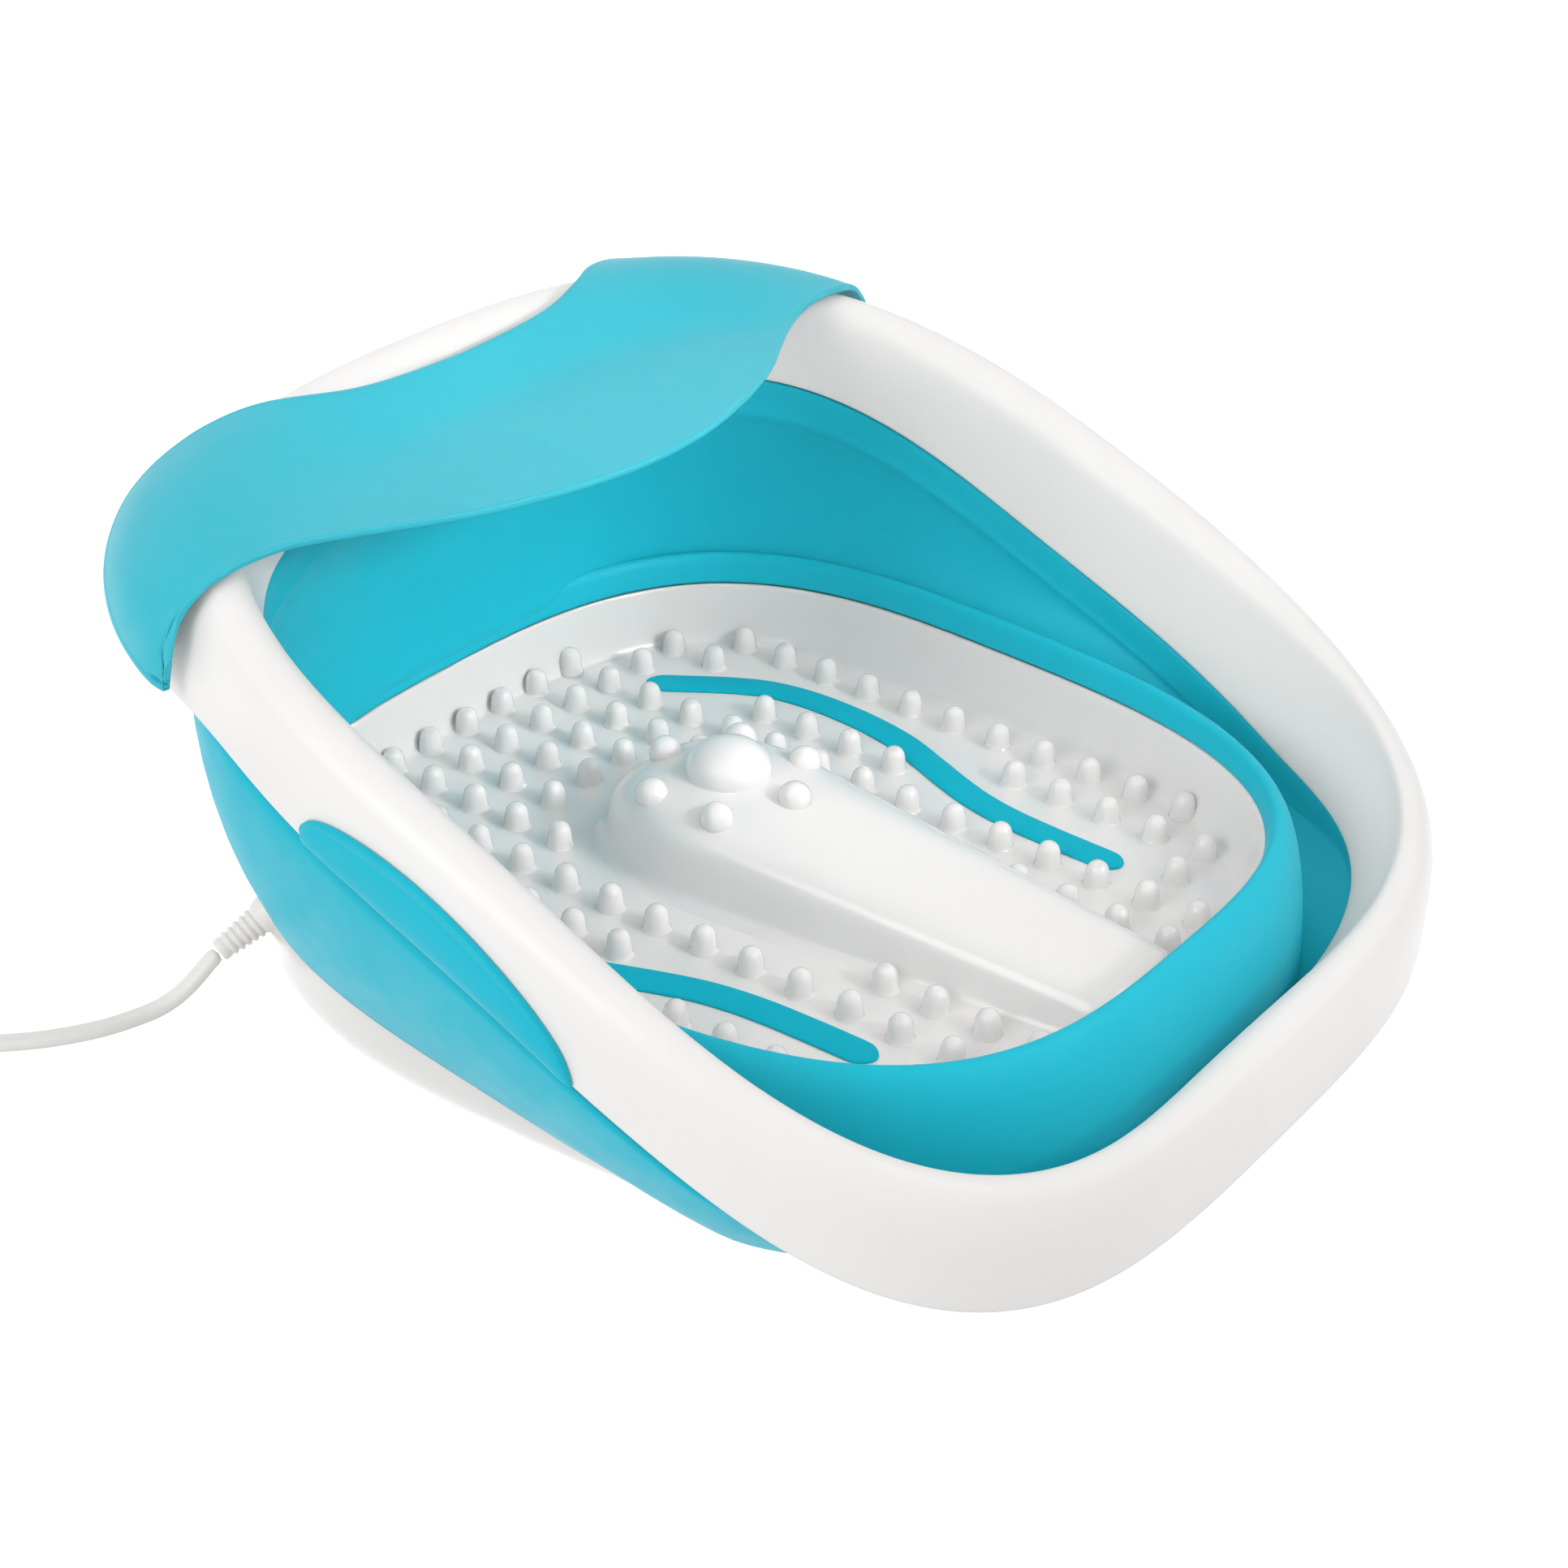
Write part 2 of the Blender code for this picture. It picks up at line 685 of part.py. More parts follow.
def ridge_half_width(y):
    if y > RIDGE_NOSE_Y - RIDGE_NOSE_LENGTH:
        along = (y - RIDGE_NOSE_Y + RIDGE_NOSE_LENGTH) / RIDGE_NOSE_LENGTH
        return RIDGE_HALF_WIDTH * math.sqrt(max(0.0, 1 - along * along))
    back = RIDGE_NOSE_Y - RIDGE_NOSE_LENGTH - RIDGE_HEEL_Y
    return mix(RIDGE_HEEL_HALF_WIDTH, RIDGE_HALF_WIDTH, (y - RIDGE_HEEL_Y) / back)


def ridge_height(y):
    """The ridge's top above the floor."""
    if y > RIDGE_NOSE_Y - RIDGE_NOSE_LENGTH:
        along = (y - RIDGE_NOSE_Y + RIDGE_NOSE_LENGTH) / RIDGE_NOSE_LENGTH
        return RIDGE_HEIGHT * math.sqrt(max(0.0, 1 - along**3))
    back = RIDGE_NOSE_Y - RIDGE_NOSE_LENGTH - RIDGE_HEEL_Y
    return mix(RIDGE_HEEL_HEIGHT, RIDGE_HEIGHT, (y - RIDGE_HEEL_Y) / back)


def ridge_rings(inset, low, heel_y):
    """Cross-sections of the ridge from its nose to its heel, drawn in by an inset."""
    rings = []
    nose = RIDGE_NOSE_Y - RIDGE_NOSE_LENGTH
    shares = (0.985, 0.93, 0.84, 0.70, 0.48, 0.22, 0.0)
    stops = [nose + RIDGE_NOSE_LENGTH * share for share in shares]
    stops += [mix(nose, heel_y, share) for share in (0.33, 0.67, 1.0)]
    for stop in stops:
        y = stop - inset if stop > nose else stop
        width = max(ridge_half_width(stop) - inset, RIDGE_WALL)
        height = max(ridge_height(stop) - inset, RIDGE_WALL)
        ring = [Vector((width, y, low))]
        for step in range(9):
            x = math.cos(math.pi * step / 8)
            rise = (1 - abs(x) ** RIDGE_SECTION_POWER) ** (1 / RIDGE_EDGE_POWER)
            ring.append(Vector((width * x, y, FLOOR_HEIGHT - RIDGE_ROOT / 3 + height * rise)))
        ring.append(Vector((-width, y, low)))
        rings.append(ring)
    return rings


def build_tray(look):
    """The basin: floor, wall, pegs, ridge and small domes, moulded as one piece."""
    rise = BASIN_EDGE_HEIGHT - FLOOR_HEIGHT
    inside = [(1, 0), (0.58, 0.10), (0.31, 0.34), (0.14, 0.68), (0, 1)]
    outside = [(0, 1), (0.14, 0.66), (0.31, 0.28), (0.58, 0.02)]
    section = [(-FLOOR_INSET * set_share, FLOOR_HEIGHT + rise * up_share) for set_share, up_share in inside]
    for set_share, up_share in outside:
        height = FLOOR_HEIGHT + rise * up_share
        section.append((TRAY_WALL * min(1, 1.2 - set_share) - FLOOR_INSET * set_share, height))
    section.append((TRAY_WALL / 5 - FLOOR_INSET, FLOOR_HEIGHT - TRAY_WALL))
    mesh = bmesh.new()
    rows = [[mesh.verts.new(p) for p in ring_of(basin_line, angle, section)] for angle in station_angles()]
    for first, second in zip(rows, rows[1:] + rows[:1]):
        for i in range(len(section) - 1):
            mesh.faces.new((first[i], first[i + 1], second[i + 1], second[i]))
    mesh.faces.new([row[0] for row in rows])
    mesh.faces.new([row[-1] for row in rows])
    tray = object_from(mesh, "basin_tray", look)
    heel_y = RIDGE_HEEL_Y
    ridge = loft(
        "ridge form", ridge_rings(0.0, FLOOR_HEIGHT - RIDGE_ROOT, heel_y), None, closed=False, collection=CUTTERS
    )
    cut(tray, ridge, "UNION")
    hollow = loft(
        "ridge hollow",
        ridge_rings(RIDGE_WALL, FLOOR_HEIGHT - TRAY_WALL - CUT_OVERRUN, heel_y + RIDGE_WALL * 6),
        None,
        closed=False,
        collection=CUTTERS,
    )
    pegs = peg_forms()
    cut(tray, pegs, "UNION")
    domes = dome_forms()
    cut(tray, domes, "UNION")
    cut(tray, hollow)
    bore = cylinder(
        "button bore",
        BUTTON_DIAMETER + 2 * GAP,
        RIDGE_HEIGHT * 2,
        Vector((0, BUTTON_Y, FLOOR_HEIGHT + RIDGE_HEIGHT)),
        None,
        sides=20,
        collection=CUTTERS,
    )
    cut(tray, bore)
    return tray


def peg_forms():
    mesh = bmesh.new()
    profile = ((1.0, -PEG_ROOT), (0.70, PEG_HEIGHT * 0.80))
    for column, runs in PEG_RUNS.items():
        rows = [row for first, last in runs for row in range(first, last + 1)]
        for side in (1, -1) if column else (1,):
            for row in rows:
                centre = Vector((side * column * PEG_PITCH_ACROSS, PEG_FIRST_Y - row * PEG_PITCH, FLOOR_HEIGHT))
                levels = []
                for share, height in profile:
                    level = []
                    for i in range(PEG_SIDES):
                        turn = 2 * math.pi * (i + 0.5) / PEG_SIDES
                        reach = PEG_BASE_DIAMETER / 2 * share
                        spot = Vector((reach * math.cos(turn), reach * math.sin(turn), height))
                        level.append(mesh.verts.new(centre + spot))
                    levels.append(level)
                top = mesh.verts.new(centre + Vector((0, 0, PEG_HEIGHT)))
                for lower, upper in zip(levels, levels[1:]):
                    for i in range(PEG_SIDES):
                        j = (i + 1) % PEG_SIDES
                        mesh.faces.new((lower[i], lower[j], upper[j], upper[i]))
                for i in range(PEG_SIDES):
                    mesh.faces.new((levels[-1][i], levels[-1][(i + 1) % PEG_SIDES], top))
                mesh.faces.new(levels[0][::-1])
    return object_from(mesh, "peg forms", None, CUTTERS)


def ridge_top(x, y):
    width = ridge_half_width(y)
    if abs(x) >= width:
        return FLOOR_HEIGHT
    return FLOOR_HEIGHT + ridge_height(y) * (1 - abs(x / width) ** RIDGE_SECTION_POWER) ** (1 / RIDGE_EDGE_POWER)


def dome_forms():
    mesh = bmesh.new()
    for i in range(6):
        turn = math.pi / 2 + i * math.pi / 3
        x = DOME_RING_RADIUS * math.cos(turn)
        y = BUTTON_Y + DOME_RING_RADIUS * math.sin(turn)
        centre = Vector((x, y, ridge_top(x, y) - DOME_DIAMETER / 2 + DOME_RISE))
        bmesh.ops.create_uvsphere(
            mesh, u_segments=8, v_segments=6, radius=DOME_DIAMETER / 2, matrix=Matrix.Translation(centre)
        )
    return object_from(mesh, "dome forms", None, CUTTERS)


def strip_line(side):
    points = []
    for along, inward in STRIP_COURSE_SHARES:
        x = side * (STRIP_FAR_X - STRIP_SWING * inward)
        points.append(Vector((x, STRIP_TOE_Y - STRIP_LENGTH * along, 0)))
    return points


def build_strip(name, side, look):
    points = strip_line(side)
    rings = []
    half = STRIP_WIDTH / 2
    low = FLOOR_HEIGHT + GAP
    for i, point in enumerate(points):
        before, after = points[max(i - 1, 0)], points[min(i + 1, len(points) - 1)]
        along = (after - before).normalized()
        across = Vector((along.y, -along.x, 0))
        caps = [(0, 1.0)]
        if i == 0:
            caps = [(-0.95, 0.32), (-0.6, 0.80), (0, 1.0)]
        elif i == len(points) - 1:
            caps = [(0, 1.0), (0.6, 0.80), (0.95, 0.32)]
        for ahead, width in caps:
            middle = point + along * half * ahead
            top = low + STRIP_THICKNESS
            ring = [
                middle - across * half * width + Vector((0, 0, low)),
                middle + across * half * width + Vector((0, 0, low)),
                middle + across * half * width * 0.85 + Vector((0, 0, top)),
                middle - across * half * width * 0.85 + Vector((0, 0, top)),
            ]
            rings.append(ring)
    return loft(name, rings, look, closed=False)


# Base


def shell_offset(height):
    """The base housing's outside from the basin's line: upright, then a round lower corner."""
    up = (SHELL_BOTTOM_HEIGHT + SHELL_CORNER_RADIUS - height) / SHELL_CORNER_RADIUS
    if up <= 0:
        return COLLAR_REACH
    return COLLAR_REACH - SHELL_CORNER_RADIUS * (1 - math.sqrt(max(0.0, 1 - up * up)))


def skirt_heights(y):
    """Heights of the points of the collar's skirt, from the basin's edge down to the seam."""
    seam = seam_height(y)
    return [mix(seam, BASIN_EDGE_HEIGHT, share) for share in (1, 0.34, 0.13, 0)]


def shell_outer_path(y):
    """The base housing's outside, from under the collar's skirt down round its lower corner."""
    seam = seam_height(y) - GAP
    hidden = COLLAR_SKIRT + GAP * 3
    path = [(shell_offset(height) - hidden, height) for height in skirt_heights(y)]
    path.append((shell_offset(seam), seam))
    low = SHELL_BOTTOM_HEIGHT
    span = min(seam, low + SHELL_CORNER_RADIUS) - low
    for share in (0.70, 0.42, 0.20, 0.06, 0):
        height = low + span * share
        path.append((shell_offset(height), height))
    return path


def build_shell(look):
    rings = []
    for angle in station_angles():
        y = basin_line(angle).y
        outer = shell_outer_path(y)
        low = SHELL_BOTTOM_HEIGHT
        foot = outer[-1][0] - FLANGE_WIDTH
        top_inner = outer[0][0] - SHELL_WALL
        inner = [
            (foot, low),
            (foot, low + SHELL_WALL),
            (outer[-1][0], low + SHELL_WALL),
        ]
        for height_share in (0.10, 0.35, 1):
            height = low + SHELL_CORNER_RADIUS * height_share
            inner.append((shell_offset(height) - COLLAR_SKIRT - GAP * 3 - SHELL_WALL, height + SHELL_WALL))
        inner += [(top_inner, mix(height, BASIN_EDGE_HEIGHT, 0.5)), (top_inner, BASIN_EDGE_HEIGHT)]
        rings.append(ring_of(basin_line, angle, outer + inner))
    shell = loft("base_shell", rings, look)
    port = cylinder(
        "cord port",
        RELIEF_BASE_DIAMETER + 2 * GAP,
        RELIEF_BASE_DIAMETER * 2,
        CORD_EXIT,
        None,
        sides=16,
        axis=CORD_EXIT_WAY,
        collection=CUTTERS,
    )
    cut(shell, port)
    seat = cylinder(
        "relief flange seat",
        RELIEF_FLANGE_DIAMETER + 4 * GAP,
        RELIEF_BASE_DIAMETER,
        CORD_EXIT - CORD_EXIT_WAY * RELIEF_BASE_DIAMETER * 1.36,
        None,
        sides=16,
        axis=CORD_EXIT_WAY,
        collection=CUTTERS,
    )
    cut(shell, seat)
    return shell


def cover_edge():
    return shell_offset(SHELL_BOTTOM_HEIGHT) - FLANGE_WIDTH - GAP


def build_cover(look):
    """The flat bottom cover inside the base housing's flange, with its screw holes."""
    mesh = bmesh.new()
    low, high = SHELL_BOTTOM_HEIGHT, SHELL_BOTTOM_HEIGHT + COVER_THICKNESS
    section = [(cover_edge(), low), (cover_edge(), high)]
    rows = [[mesh.verts.new(p) for p in ring_of(basin_line, angle, section)] for angle in station_angles()]
    for first, second in zip(rows, rows[1:] + rows[:1]):
        mesh.faces.new((first[0], first[1], second[1], second[0]))
    mesh.faces.new([row[0] for row in rows])
    mesh.faces.new([row[1] for row in rows])
    cover = object_from(mesh, "bottom_cover", look)
    for number, (x, y) in enumerate(screw_places(), 1):
        hole = cylinder(
            f"screw hole {number}",
            SCREW_SHANK_DIAMETER + 2 * GAP,
            COVER_THICKNESS * 4,
            Vector((x, y, low)),
            None,
            sides=10,
            collection=CUTTERS,
        )
        cut(cover, hole)
    return cover


def screw_places():
    return [(x, y) for y in (SCREW_TOE_Y, SCREW_HEEL_Y) for x in (SCREW_X, -SCREW_X)]


def build_screw(number, x, y, look):
    """A pan-head screw up through the cover."""
    head_top = SHELL_BOTTOM_HEIGHT - GAP
    profile = [
        (0, head_top - SCREW_HEAD_HEIGHT),
        (SCREW_HEAD_DIAMETER / 2 * 0.8, head_top - SCREW_HEAD_HEIGHT),
        (SCREW_HEAD_DIAMETER / 2, head_top - SCREW_HEAD_HEIGHT * 0.4),
        (SCREW_HEAD_DIAMETER / 2, head_top),
        (SCREW_SHANK_DIAMETER / 2, head_top),
        (SCREW_SHANK_DIAMETER / 2, head_top + SCREW_LENGTH),
        (0, head_top + SCREW_LENGTH),
    ]
    return turned(f"cover_screw_{number}", profile[::-1], Vector((x, y, 0)), look, sides=10)


def build_foot(number, x, y, look):
    """A rubber foot stuck under the cover, flat on the floor."""
    high = SHELL_BOTTOM_HEIGHT - GAP
    profile = [
        (0, high),
        (FOOT_DIAMETER / 2, high),
        (FOOT_DIAMETER / 2, high * 0.35),
        (FOOT_DIAMETER / 2 * 0.86, 0),
        (0, 0),
    ]
    return turned(f"foot_{number}", profile, Vector((x, y, 0)), look, sides=16)


def turned(name, profile, place, look, sides=16):
    """A solid of revolution about +Z: a profile from top to bottom with a Screw modifier."""
    mesh = bpy.data.meshes.new(name)
    points = [(radius, 0, height) for radius, height in profile]
    mesh.from_pydata(points, [(i, i + 1) for i in range(len(points) - 1)], [])
    mesh.materials.append(look)
    obj = bpy.data.objects.new(name, mesh)
    PARTS.objects.link(obj)
    obj.location = place
    screw = obj.modifiers.new("turn", "SCREW")
    screw.steps = sides
    screw.render_steps = sides
    screw.use_merge_vertices = True
    screw.merge_threshold = 0.00005
    screw.use_smooth_shade = True
    return obj


# Inside the base


def build_heater(look):
    top = FLOOR_HEIGHT - TRAY_WALL - GAP
    centre = Vector((HEATER_X, HEATER_Y, top - HEATER_THICKNESS / 2))
    size = (HEATER_WIDTH, HEATER_LENGTH, HEATER_THICKNESS)
    return box("heater_plate", size, centre, look, bevel=HEATER_THICKNESS / 4)


def build_motor(look_can, look_saddle, look_weight):
    """A vibration motor lying along X in a saddle, with an eccentric weight on its shaft."""
    axis = Vector((1, 0, 0))
    middle = Vector((MOTOR_X, MOTOR_Y, MOTOR_AXIS_HEIGHT))
    can = cylinder("motor_can", MOTOR_DIAMETER, MOTOR_LENGTH, middle, look_can, sides=16, axis=axis)
    shaft_middle = middle - axis * (MOTOR_LENGTH + MOTOR_SHAFT_LENGTH) / 2
    overlap = MOTOR_SHAFT_DIAMETER
    shaft = cylinder(
        "motor shaft form",
        MOTOR_SHAFT_DIAMETER,
        MOTOR_SHAFT_LENGTH + overlap,
        shaft_middle + axis * overlap / 2,
        None,
        sides=10,
        axis=axis,
        collection=CUTTERS,
    )
    cut(can, shaft, "UNION")
    low = SHELL_BOTTOM_HEIGHT + COVER_THICKNESS + GAP
    high = FLOOR_HEIGHT - TRAY_WALL - GAP
    height = high - low
    saddle_size = (SADDLE_WIDTH, MOTOR_DIAMETER + 2 * SADDLE_WALL, height)
    saddle = box("motor_saddle", saddle_size, Vector((MOTOR_X, MOTOR_Y, (low + high) / 2)), look_saddle)
    seat = cylinder(
        "saddle bore",
        MOTOR_DIAMETER + 2 * GAP,
        MOTOR_LENGTH * 2,
        middle,
        None,
        sides=16,
        axis=axis,
        collection=CUTTERS,
    )
    cut(saddle, seat)
    weight_x = MOTOR_X - MOTOR_LENGTH / 2 - WEIGHT_CLEARANCE - WEIGHT_THICKNESS / 2
    weight = cylinder(
        "motor_weight",
        2 * WEIGHT_RADIUS,
        WEIGHT_THICKNESS,
        Vector((0, 0, 0)),
        look_weight,
        sides=16,
        axis=axis,
    )
    weight.location = Vector((weight_x, MOTOR_Y, MOTOR_AXIS_HEIGHT))
    bore = cylinder(
        "weight bore",
        MOTOR_SHAFT_DIAMETER + 2 * GAP,
        WEIGHT_THICKNESS * 2,
        weight.location,
        None,
        sides=10,
        axis=axis,
        collection=CUTTERS,
    )
    cut(weight, bore)
    half = box(
        "weight half",
        (WEIGHT_THICKNESS * 2, WEIGHT_RADIUS * 3, WEIGHT_RADIUS * 2),
        weight.location + Vector((0, 0, WEIGHT_RADIUS + MOTOR_SHAFT_DIAMETER)),
        None,
        collection=CUTTERS,
    )
    cut(weight, half)


def build_controls(look_board, look_switch, look_tower, look_spring, look_button):
    """The board under the toe button on its tower, the switch, the return spring and the button."""
    floor_top = SHELL_BOTTOM_HEIGHT + COVER_THICKNESS + GAP
    tower_top = BOARD_HEIGHT - GAP
    tower_size = (BOARD_WIDTH * 0.8, BOARD_LENGTH * 0.8, tower_top - floor_top)
    tower = box("board_tower", tower_size, Vector((0, BUTTON_Y, (tower_top + floor_top) / 2)), look_tower)
    room = box(
        "tower room",
        (tower_size[0] - 2 * RIDGE_WALL, tower_size[1] * 2, tower_size[2] - 2 * RIDGE_WALL),
        Vector((0, BUTTON_Y, (tower_top + floor_top) / 2)),
        None,
        collection=CUTTERS,
    )
    cut(tower, room)
    board_middle = Vector((0, BUTTON_Y, BOARD_HEIGHT + BOARD_THICKNESS / 2))
    box("control_board", (BOARD_WIDTH, BOARD_LENGTH, BOARD_THICKNESS), board_middle, look_board)
    switch_low = BOARD_HEIGHT + BOARD_THICKNESS + GAP
    box(
        "tact_switch",
        (SWITCH_SIDE, SWITCH_SIDE, SWITCH_HEIGHT),
        Vector((0, BUTTON_Y, switch_low + SWITCH_HEIGHT / 2)),
        look_switch,
    )
    top = FLOOR_HEIGHT + RIDGE_HEIGHT
    skirt_low = top - BUTTON_SKIRT
    stem_low = switch_low + SWITCH_HEIGHT + BUTTON_TRAVEL + GAP
    radius = BUTTON_DIAMETER / 2
    profile = [(0, top + BUTTON_DOME)]
    for degrees in (65, 45, 25, 8):
        turn = math.radians(degrees)
        profile.append((radius * math.cos(turn), top + BUTTON_DOME * math.sin(turn)))
    profile += [
        (radius, top),
        (radius, skirt_low),
        (BUTTON_STEM_DIAMETER / 2, skirt_low),
        (BUTTON_STEM_DIAMETER / 2, stem_low),
        (0, stem_low),
    ]
    turned("toe_button", profile, Vector((0, BUTTON_Y, 0)), look_button, sides=20)
    build_spring(BOARD_HEIGHT + BOARD_THICKNESS + GAP, skirt_low - GAP, look_spring)


def build_spring(low, high, look):
    """An open coil spring round the stem, between the board and the button."""
    curve = bpy.data.curves.new("button_spring", "CURVE")
    curve.dimensions = "3D"
    curve.bevel_depth = SPRING_WIRE / 2
    curve.bevel_resolution = 1
    curve.use_fill_caps = True
    curve.materials.append(look)
    spline = curve.splines.new("POLY")
    count = SPRING_TURNS * 12 + 1
    spline.points.add(count - 1)
    bottom, top = low + SPRING_WIRE / 2, high - SPRING_WIRE / 2
    for i in range(count):
        turn = 2 * math.pi * i / 12
        reach = (SPRING_DIAMETER - SPRING_WIRE) / 2
        height = mix(bottom, top, i / (count - 1))
        spline.points[i].co = (reach * math.cos(turn), BUTTON_Y + reach * math.sin(turn), height, 1)
    obj = bpy.data.objects.new("button_spring", curve)
    PARTS.objects.link(obj)


# Splash guard


def along_table(table, share):
    """A point of an edge's table, read at a share of its rows."""
    place = share * (len(table) - 1)
    row = min(int(place), len(table) - 2)
    rest = place - row
    before, first, second, after = (table[min(max(row + k, 0), len(table) - 1)] for k in (-1, 0, 1, 2))
    point = []
    for a, b, c, d in zip(before, first, second, after):
        bend = (2 * a - 5 * b + 4 * c - d) * rest**2 + (3 * b - a - 3 * c + d) * rest**3
        point.append((2 * b + (c - a) * rest + bend) / 2)
    return point


def nearest_on_rim(x, y):
    """The rim's station nearest to a place, and the place's distance outside the crest's line."""
    place = Vector((abs(x), y, 0))
    angle = min((math.pi * i / 240 for i in range(241)), key=lambda a: (rim_line(a) - place).length)
    return angle, (place - rim_line(angle)).dot(outward(rim_line, angle))


def guard_point(x, y):
    """A place on the flat sheet bent over the crest: a round bend, then straight down."""
    angle, along = nearest_on_rim(x, y)
    crest = rim_line(angle)
    away = outward(rim_line, angle)
    top = rim_height(crest.y) + CREST_RADIUS + GUARD_LIFT
    if along <= 0:
        level = smooth_step(-along / (CREST_RADIUS * 4))
        return Vector((abs(x), y, mix(top, min(top, GUARD_INNER_HEIGHT), level)))
    share = (crest.y - GUARD_BEND_START_Y) / (GUARD_BEND_END_Y - GUARD_BEND_START_Y)
    bend = mix(GUARD_TIP_BEND, GUARD_LOBE_BEND, min(1.0, max(0.0, share)) ** GUARD_BEND_POWER)
    turn = min(along / bend, math.radians(85))
    rest = along - turn * bend
    out = bend * math.sin(turn) + rest * math.cos(turn)
    down = bend * (1 - math.cos(turn)) + rest * math.sin(turn)
    return crest + away * out + Vector((0, 0, top - down))


def thickened(grid, thickness):
    """The points of a grid moved along its upward normals."""
    moved = []
    for i, row in enumerate(grid):
        before, after = grid[max(i - 1, 0)], grid[min(i + 1, len(grid) - 1)]
        line = []
        for j, point in enumerate(row):
            along = row[min(j + 1, len(row) - 1)] - row[max(j - 1, 0)]
            normal = along.cross(after[j] - before[j]).normalized()
            line.append(point + normal * (thickness if normal.dot(GUARD_UP) > 0 else -thickness))
        moved.append(line)
    return moved


def build_guard(look):
    """A sheet of even thickness between its outer and its inner edge."""
    lower = []
    for column in range(GUARD_COLUMNS + 1):
        across = 2 * column / GUARD_COLUMNS - 1
        side = -1 if across < 0 else 1
        outer_x, outer_y = along_table(GUARD_OUTER_SHARES, abs(across))
        inner_x, inner_y = along_table(GUARD_INNER_SHARES, abs(across))
        outer = Vector((GUARD_TIP_X * outer_x * side, mix(GUARD_TIP_Y, GUARD_LOBE_Y, outer_y)))
        inner = Vector((GUARD_TIP_X * inner_x * side, mix(GUARD_TIP_Y, GUARD_INNER_Y, inner_y)))
        below = []
        for row in range(GUARD_ROWS + 1):
            spot = outer.lerp(inner, row / GUARD_ROWS)
            point = guard_point(spot.x, spot.y)
            below.append(Vector((point.x * side, point.y, point.z)))
        lower.append(below)
    upper = thickened(lower, GUARD_THICKNESS)
    rings = [above + below[::-1] for above, below in zip(upper, lower)]
    return loft("splash_guard", rings, look, closed=False)


# Cord


def smooth_route(points, spacing):
    """Evenly spaced points of a smooth curve through a route's own points."""
    fine = []
    for i in range(len(points) - 1):
        a = points[max(i - 1, 0)]
        b, c = points[i], points[i + 1]
        d = points[min(i + 2, len(points) - 1)]
        for step in range(20):
            t = step / 20
            fine.append(
                (b * 2 + (c - a) * t + (a * 2 - b * 5 + c * 4 - d) * t * t + (b * 3 - a - c * 3 + d) * t**3) / 2
            )
    fine.append(points[-1])
    total = sum((second - first).length for first, second in zip(fine, fine[1:]))
    count = max(2, round(total / spacing))
    even, walked, target = [fine[0]], 0.0, total / count
    for first, second in zip(fine, fine[1:]):
        run = (second - first).length
        while walked + run >= target * len(even) and len(even) < count:
            even.append(first.lerp(second, (target * len(even) - walked) / run))
        walked += run
    even.append(fine[-1])
    return even, total


def tube(name, points, diameter, look, resolution):
    curve = bpy.data.curves.new(name, "CURVE")
    curve.dimensions = "3D"
    curve.bevel_depth = diameter / 2
    curve.bevel_resolution = resolution
    curve.use_fill_caps = True
    curve.materials.append(look)
    spline = curve.splines.new("POLY")
    spline.points.add(len(points) - 1)
    for spot, point in zip(spline.points, points):
        spot.co = (*point, 1)
    obj = bpy.data.objects.new(name, curve)
    PARTS.objects.link(obj)
    return obj


def cord_start():
    return CORD_EXIT + CORD_EXIT_WAY * (RELIEF_LENGTH + GAP)


def coil_frame():
    """The coil's centre, the way the cord comes in, and the way square to it."""
    last, before = Vector(CORD_ROUTE[-1]), Vector(CORD_ROUTE[-2])
    way = last - before
    way.z = 0
    way.normalize()
    side = Vector((-way.y, way.x, 0)) * -1
    outer = COIL_MIDDLE_RADIUS + COIL_PITCH * COIL_TURNS_PER_LAYER / 2
    return last + way * (CORD_DIAMETER + GAP) + side * outer, way, side


def coil_points():
    """Two layers: the lower one spirals in, the upper one spirals out, then the cord leads out to the plug."""
    centre, way, side = coil_frame()
    last = Vector(CORD_ROUTE[-1])
    low = last.z
    high = low + COIL_PITCH
    outer = COIL_MIDDLE_RADIUS + COIL_PITCH * COIL_TURNS_PER_LAYER / 2
    points = [last + way * GAP, last + way * (GAP + CORD_DIAMETER)]
    steps = round(24 * COIL_TURNS_PER_LAYER)
    for i in range(1, 2 * steps + 1):
        turn = 2 * math.pi * i / 24
        inward = i if i <= steps else 2 * steps - i
        reach = outer - COIL_PITCH * inward / 24
        climb = smooth_step((i - steps + 6) / 12)
        spot = centre - side * reach * math.cos(turn) + way * reach * math.sin(turn)
        points.append(Vector((spot.x, spot.y, mix(low, high, climb))))
    leave = (points[-1] - points[-2]).normalized()
    leave.z = 0
    leave.normalize()
    end_height = max(PLUG_THICKNESS / 2 + GAP, low)
    start = points[-1]
    away = Vector((leave.y, -leave.x, 0))
    if (start + away - centre).length < (start - centre).length:
        away = -away
    down, landed = LEAD_OUT_DOWN_SHARES
    for i in range(1, LEAD_OUT_STEPS + 1):
        share = i / LEAD_OUT_STEPS
        spot = start + leave * LEAD_OUT_LENGTH * share + away * CORD_DIAMETER * smooth_step(share) / 2
        fall = smooth_step((share - down) / (landed - down))
        points.append(Vector((spot.x, spot.y, mix(high, end_height, fall))))
    points.append(points[-1] + leave * CORD_DIAMETER)
    return points, leave


def least_gap(points, diameter):
    """The least distance between the surfaces of stretches that aren't neighbours along the tube."""
    least = None
    skip = 8
    for i in range(len(points)):
        for j in range(i + skip, len(points)):
            gap = (points[i] - points[j]).length - diameter
            least = gap if least is None else min(least, gap)
    return least


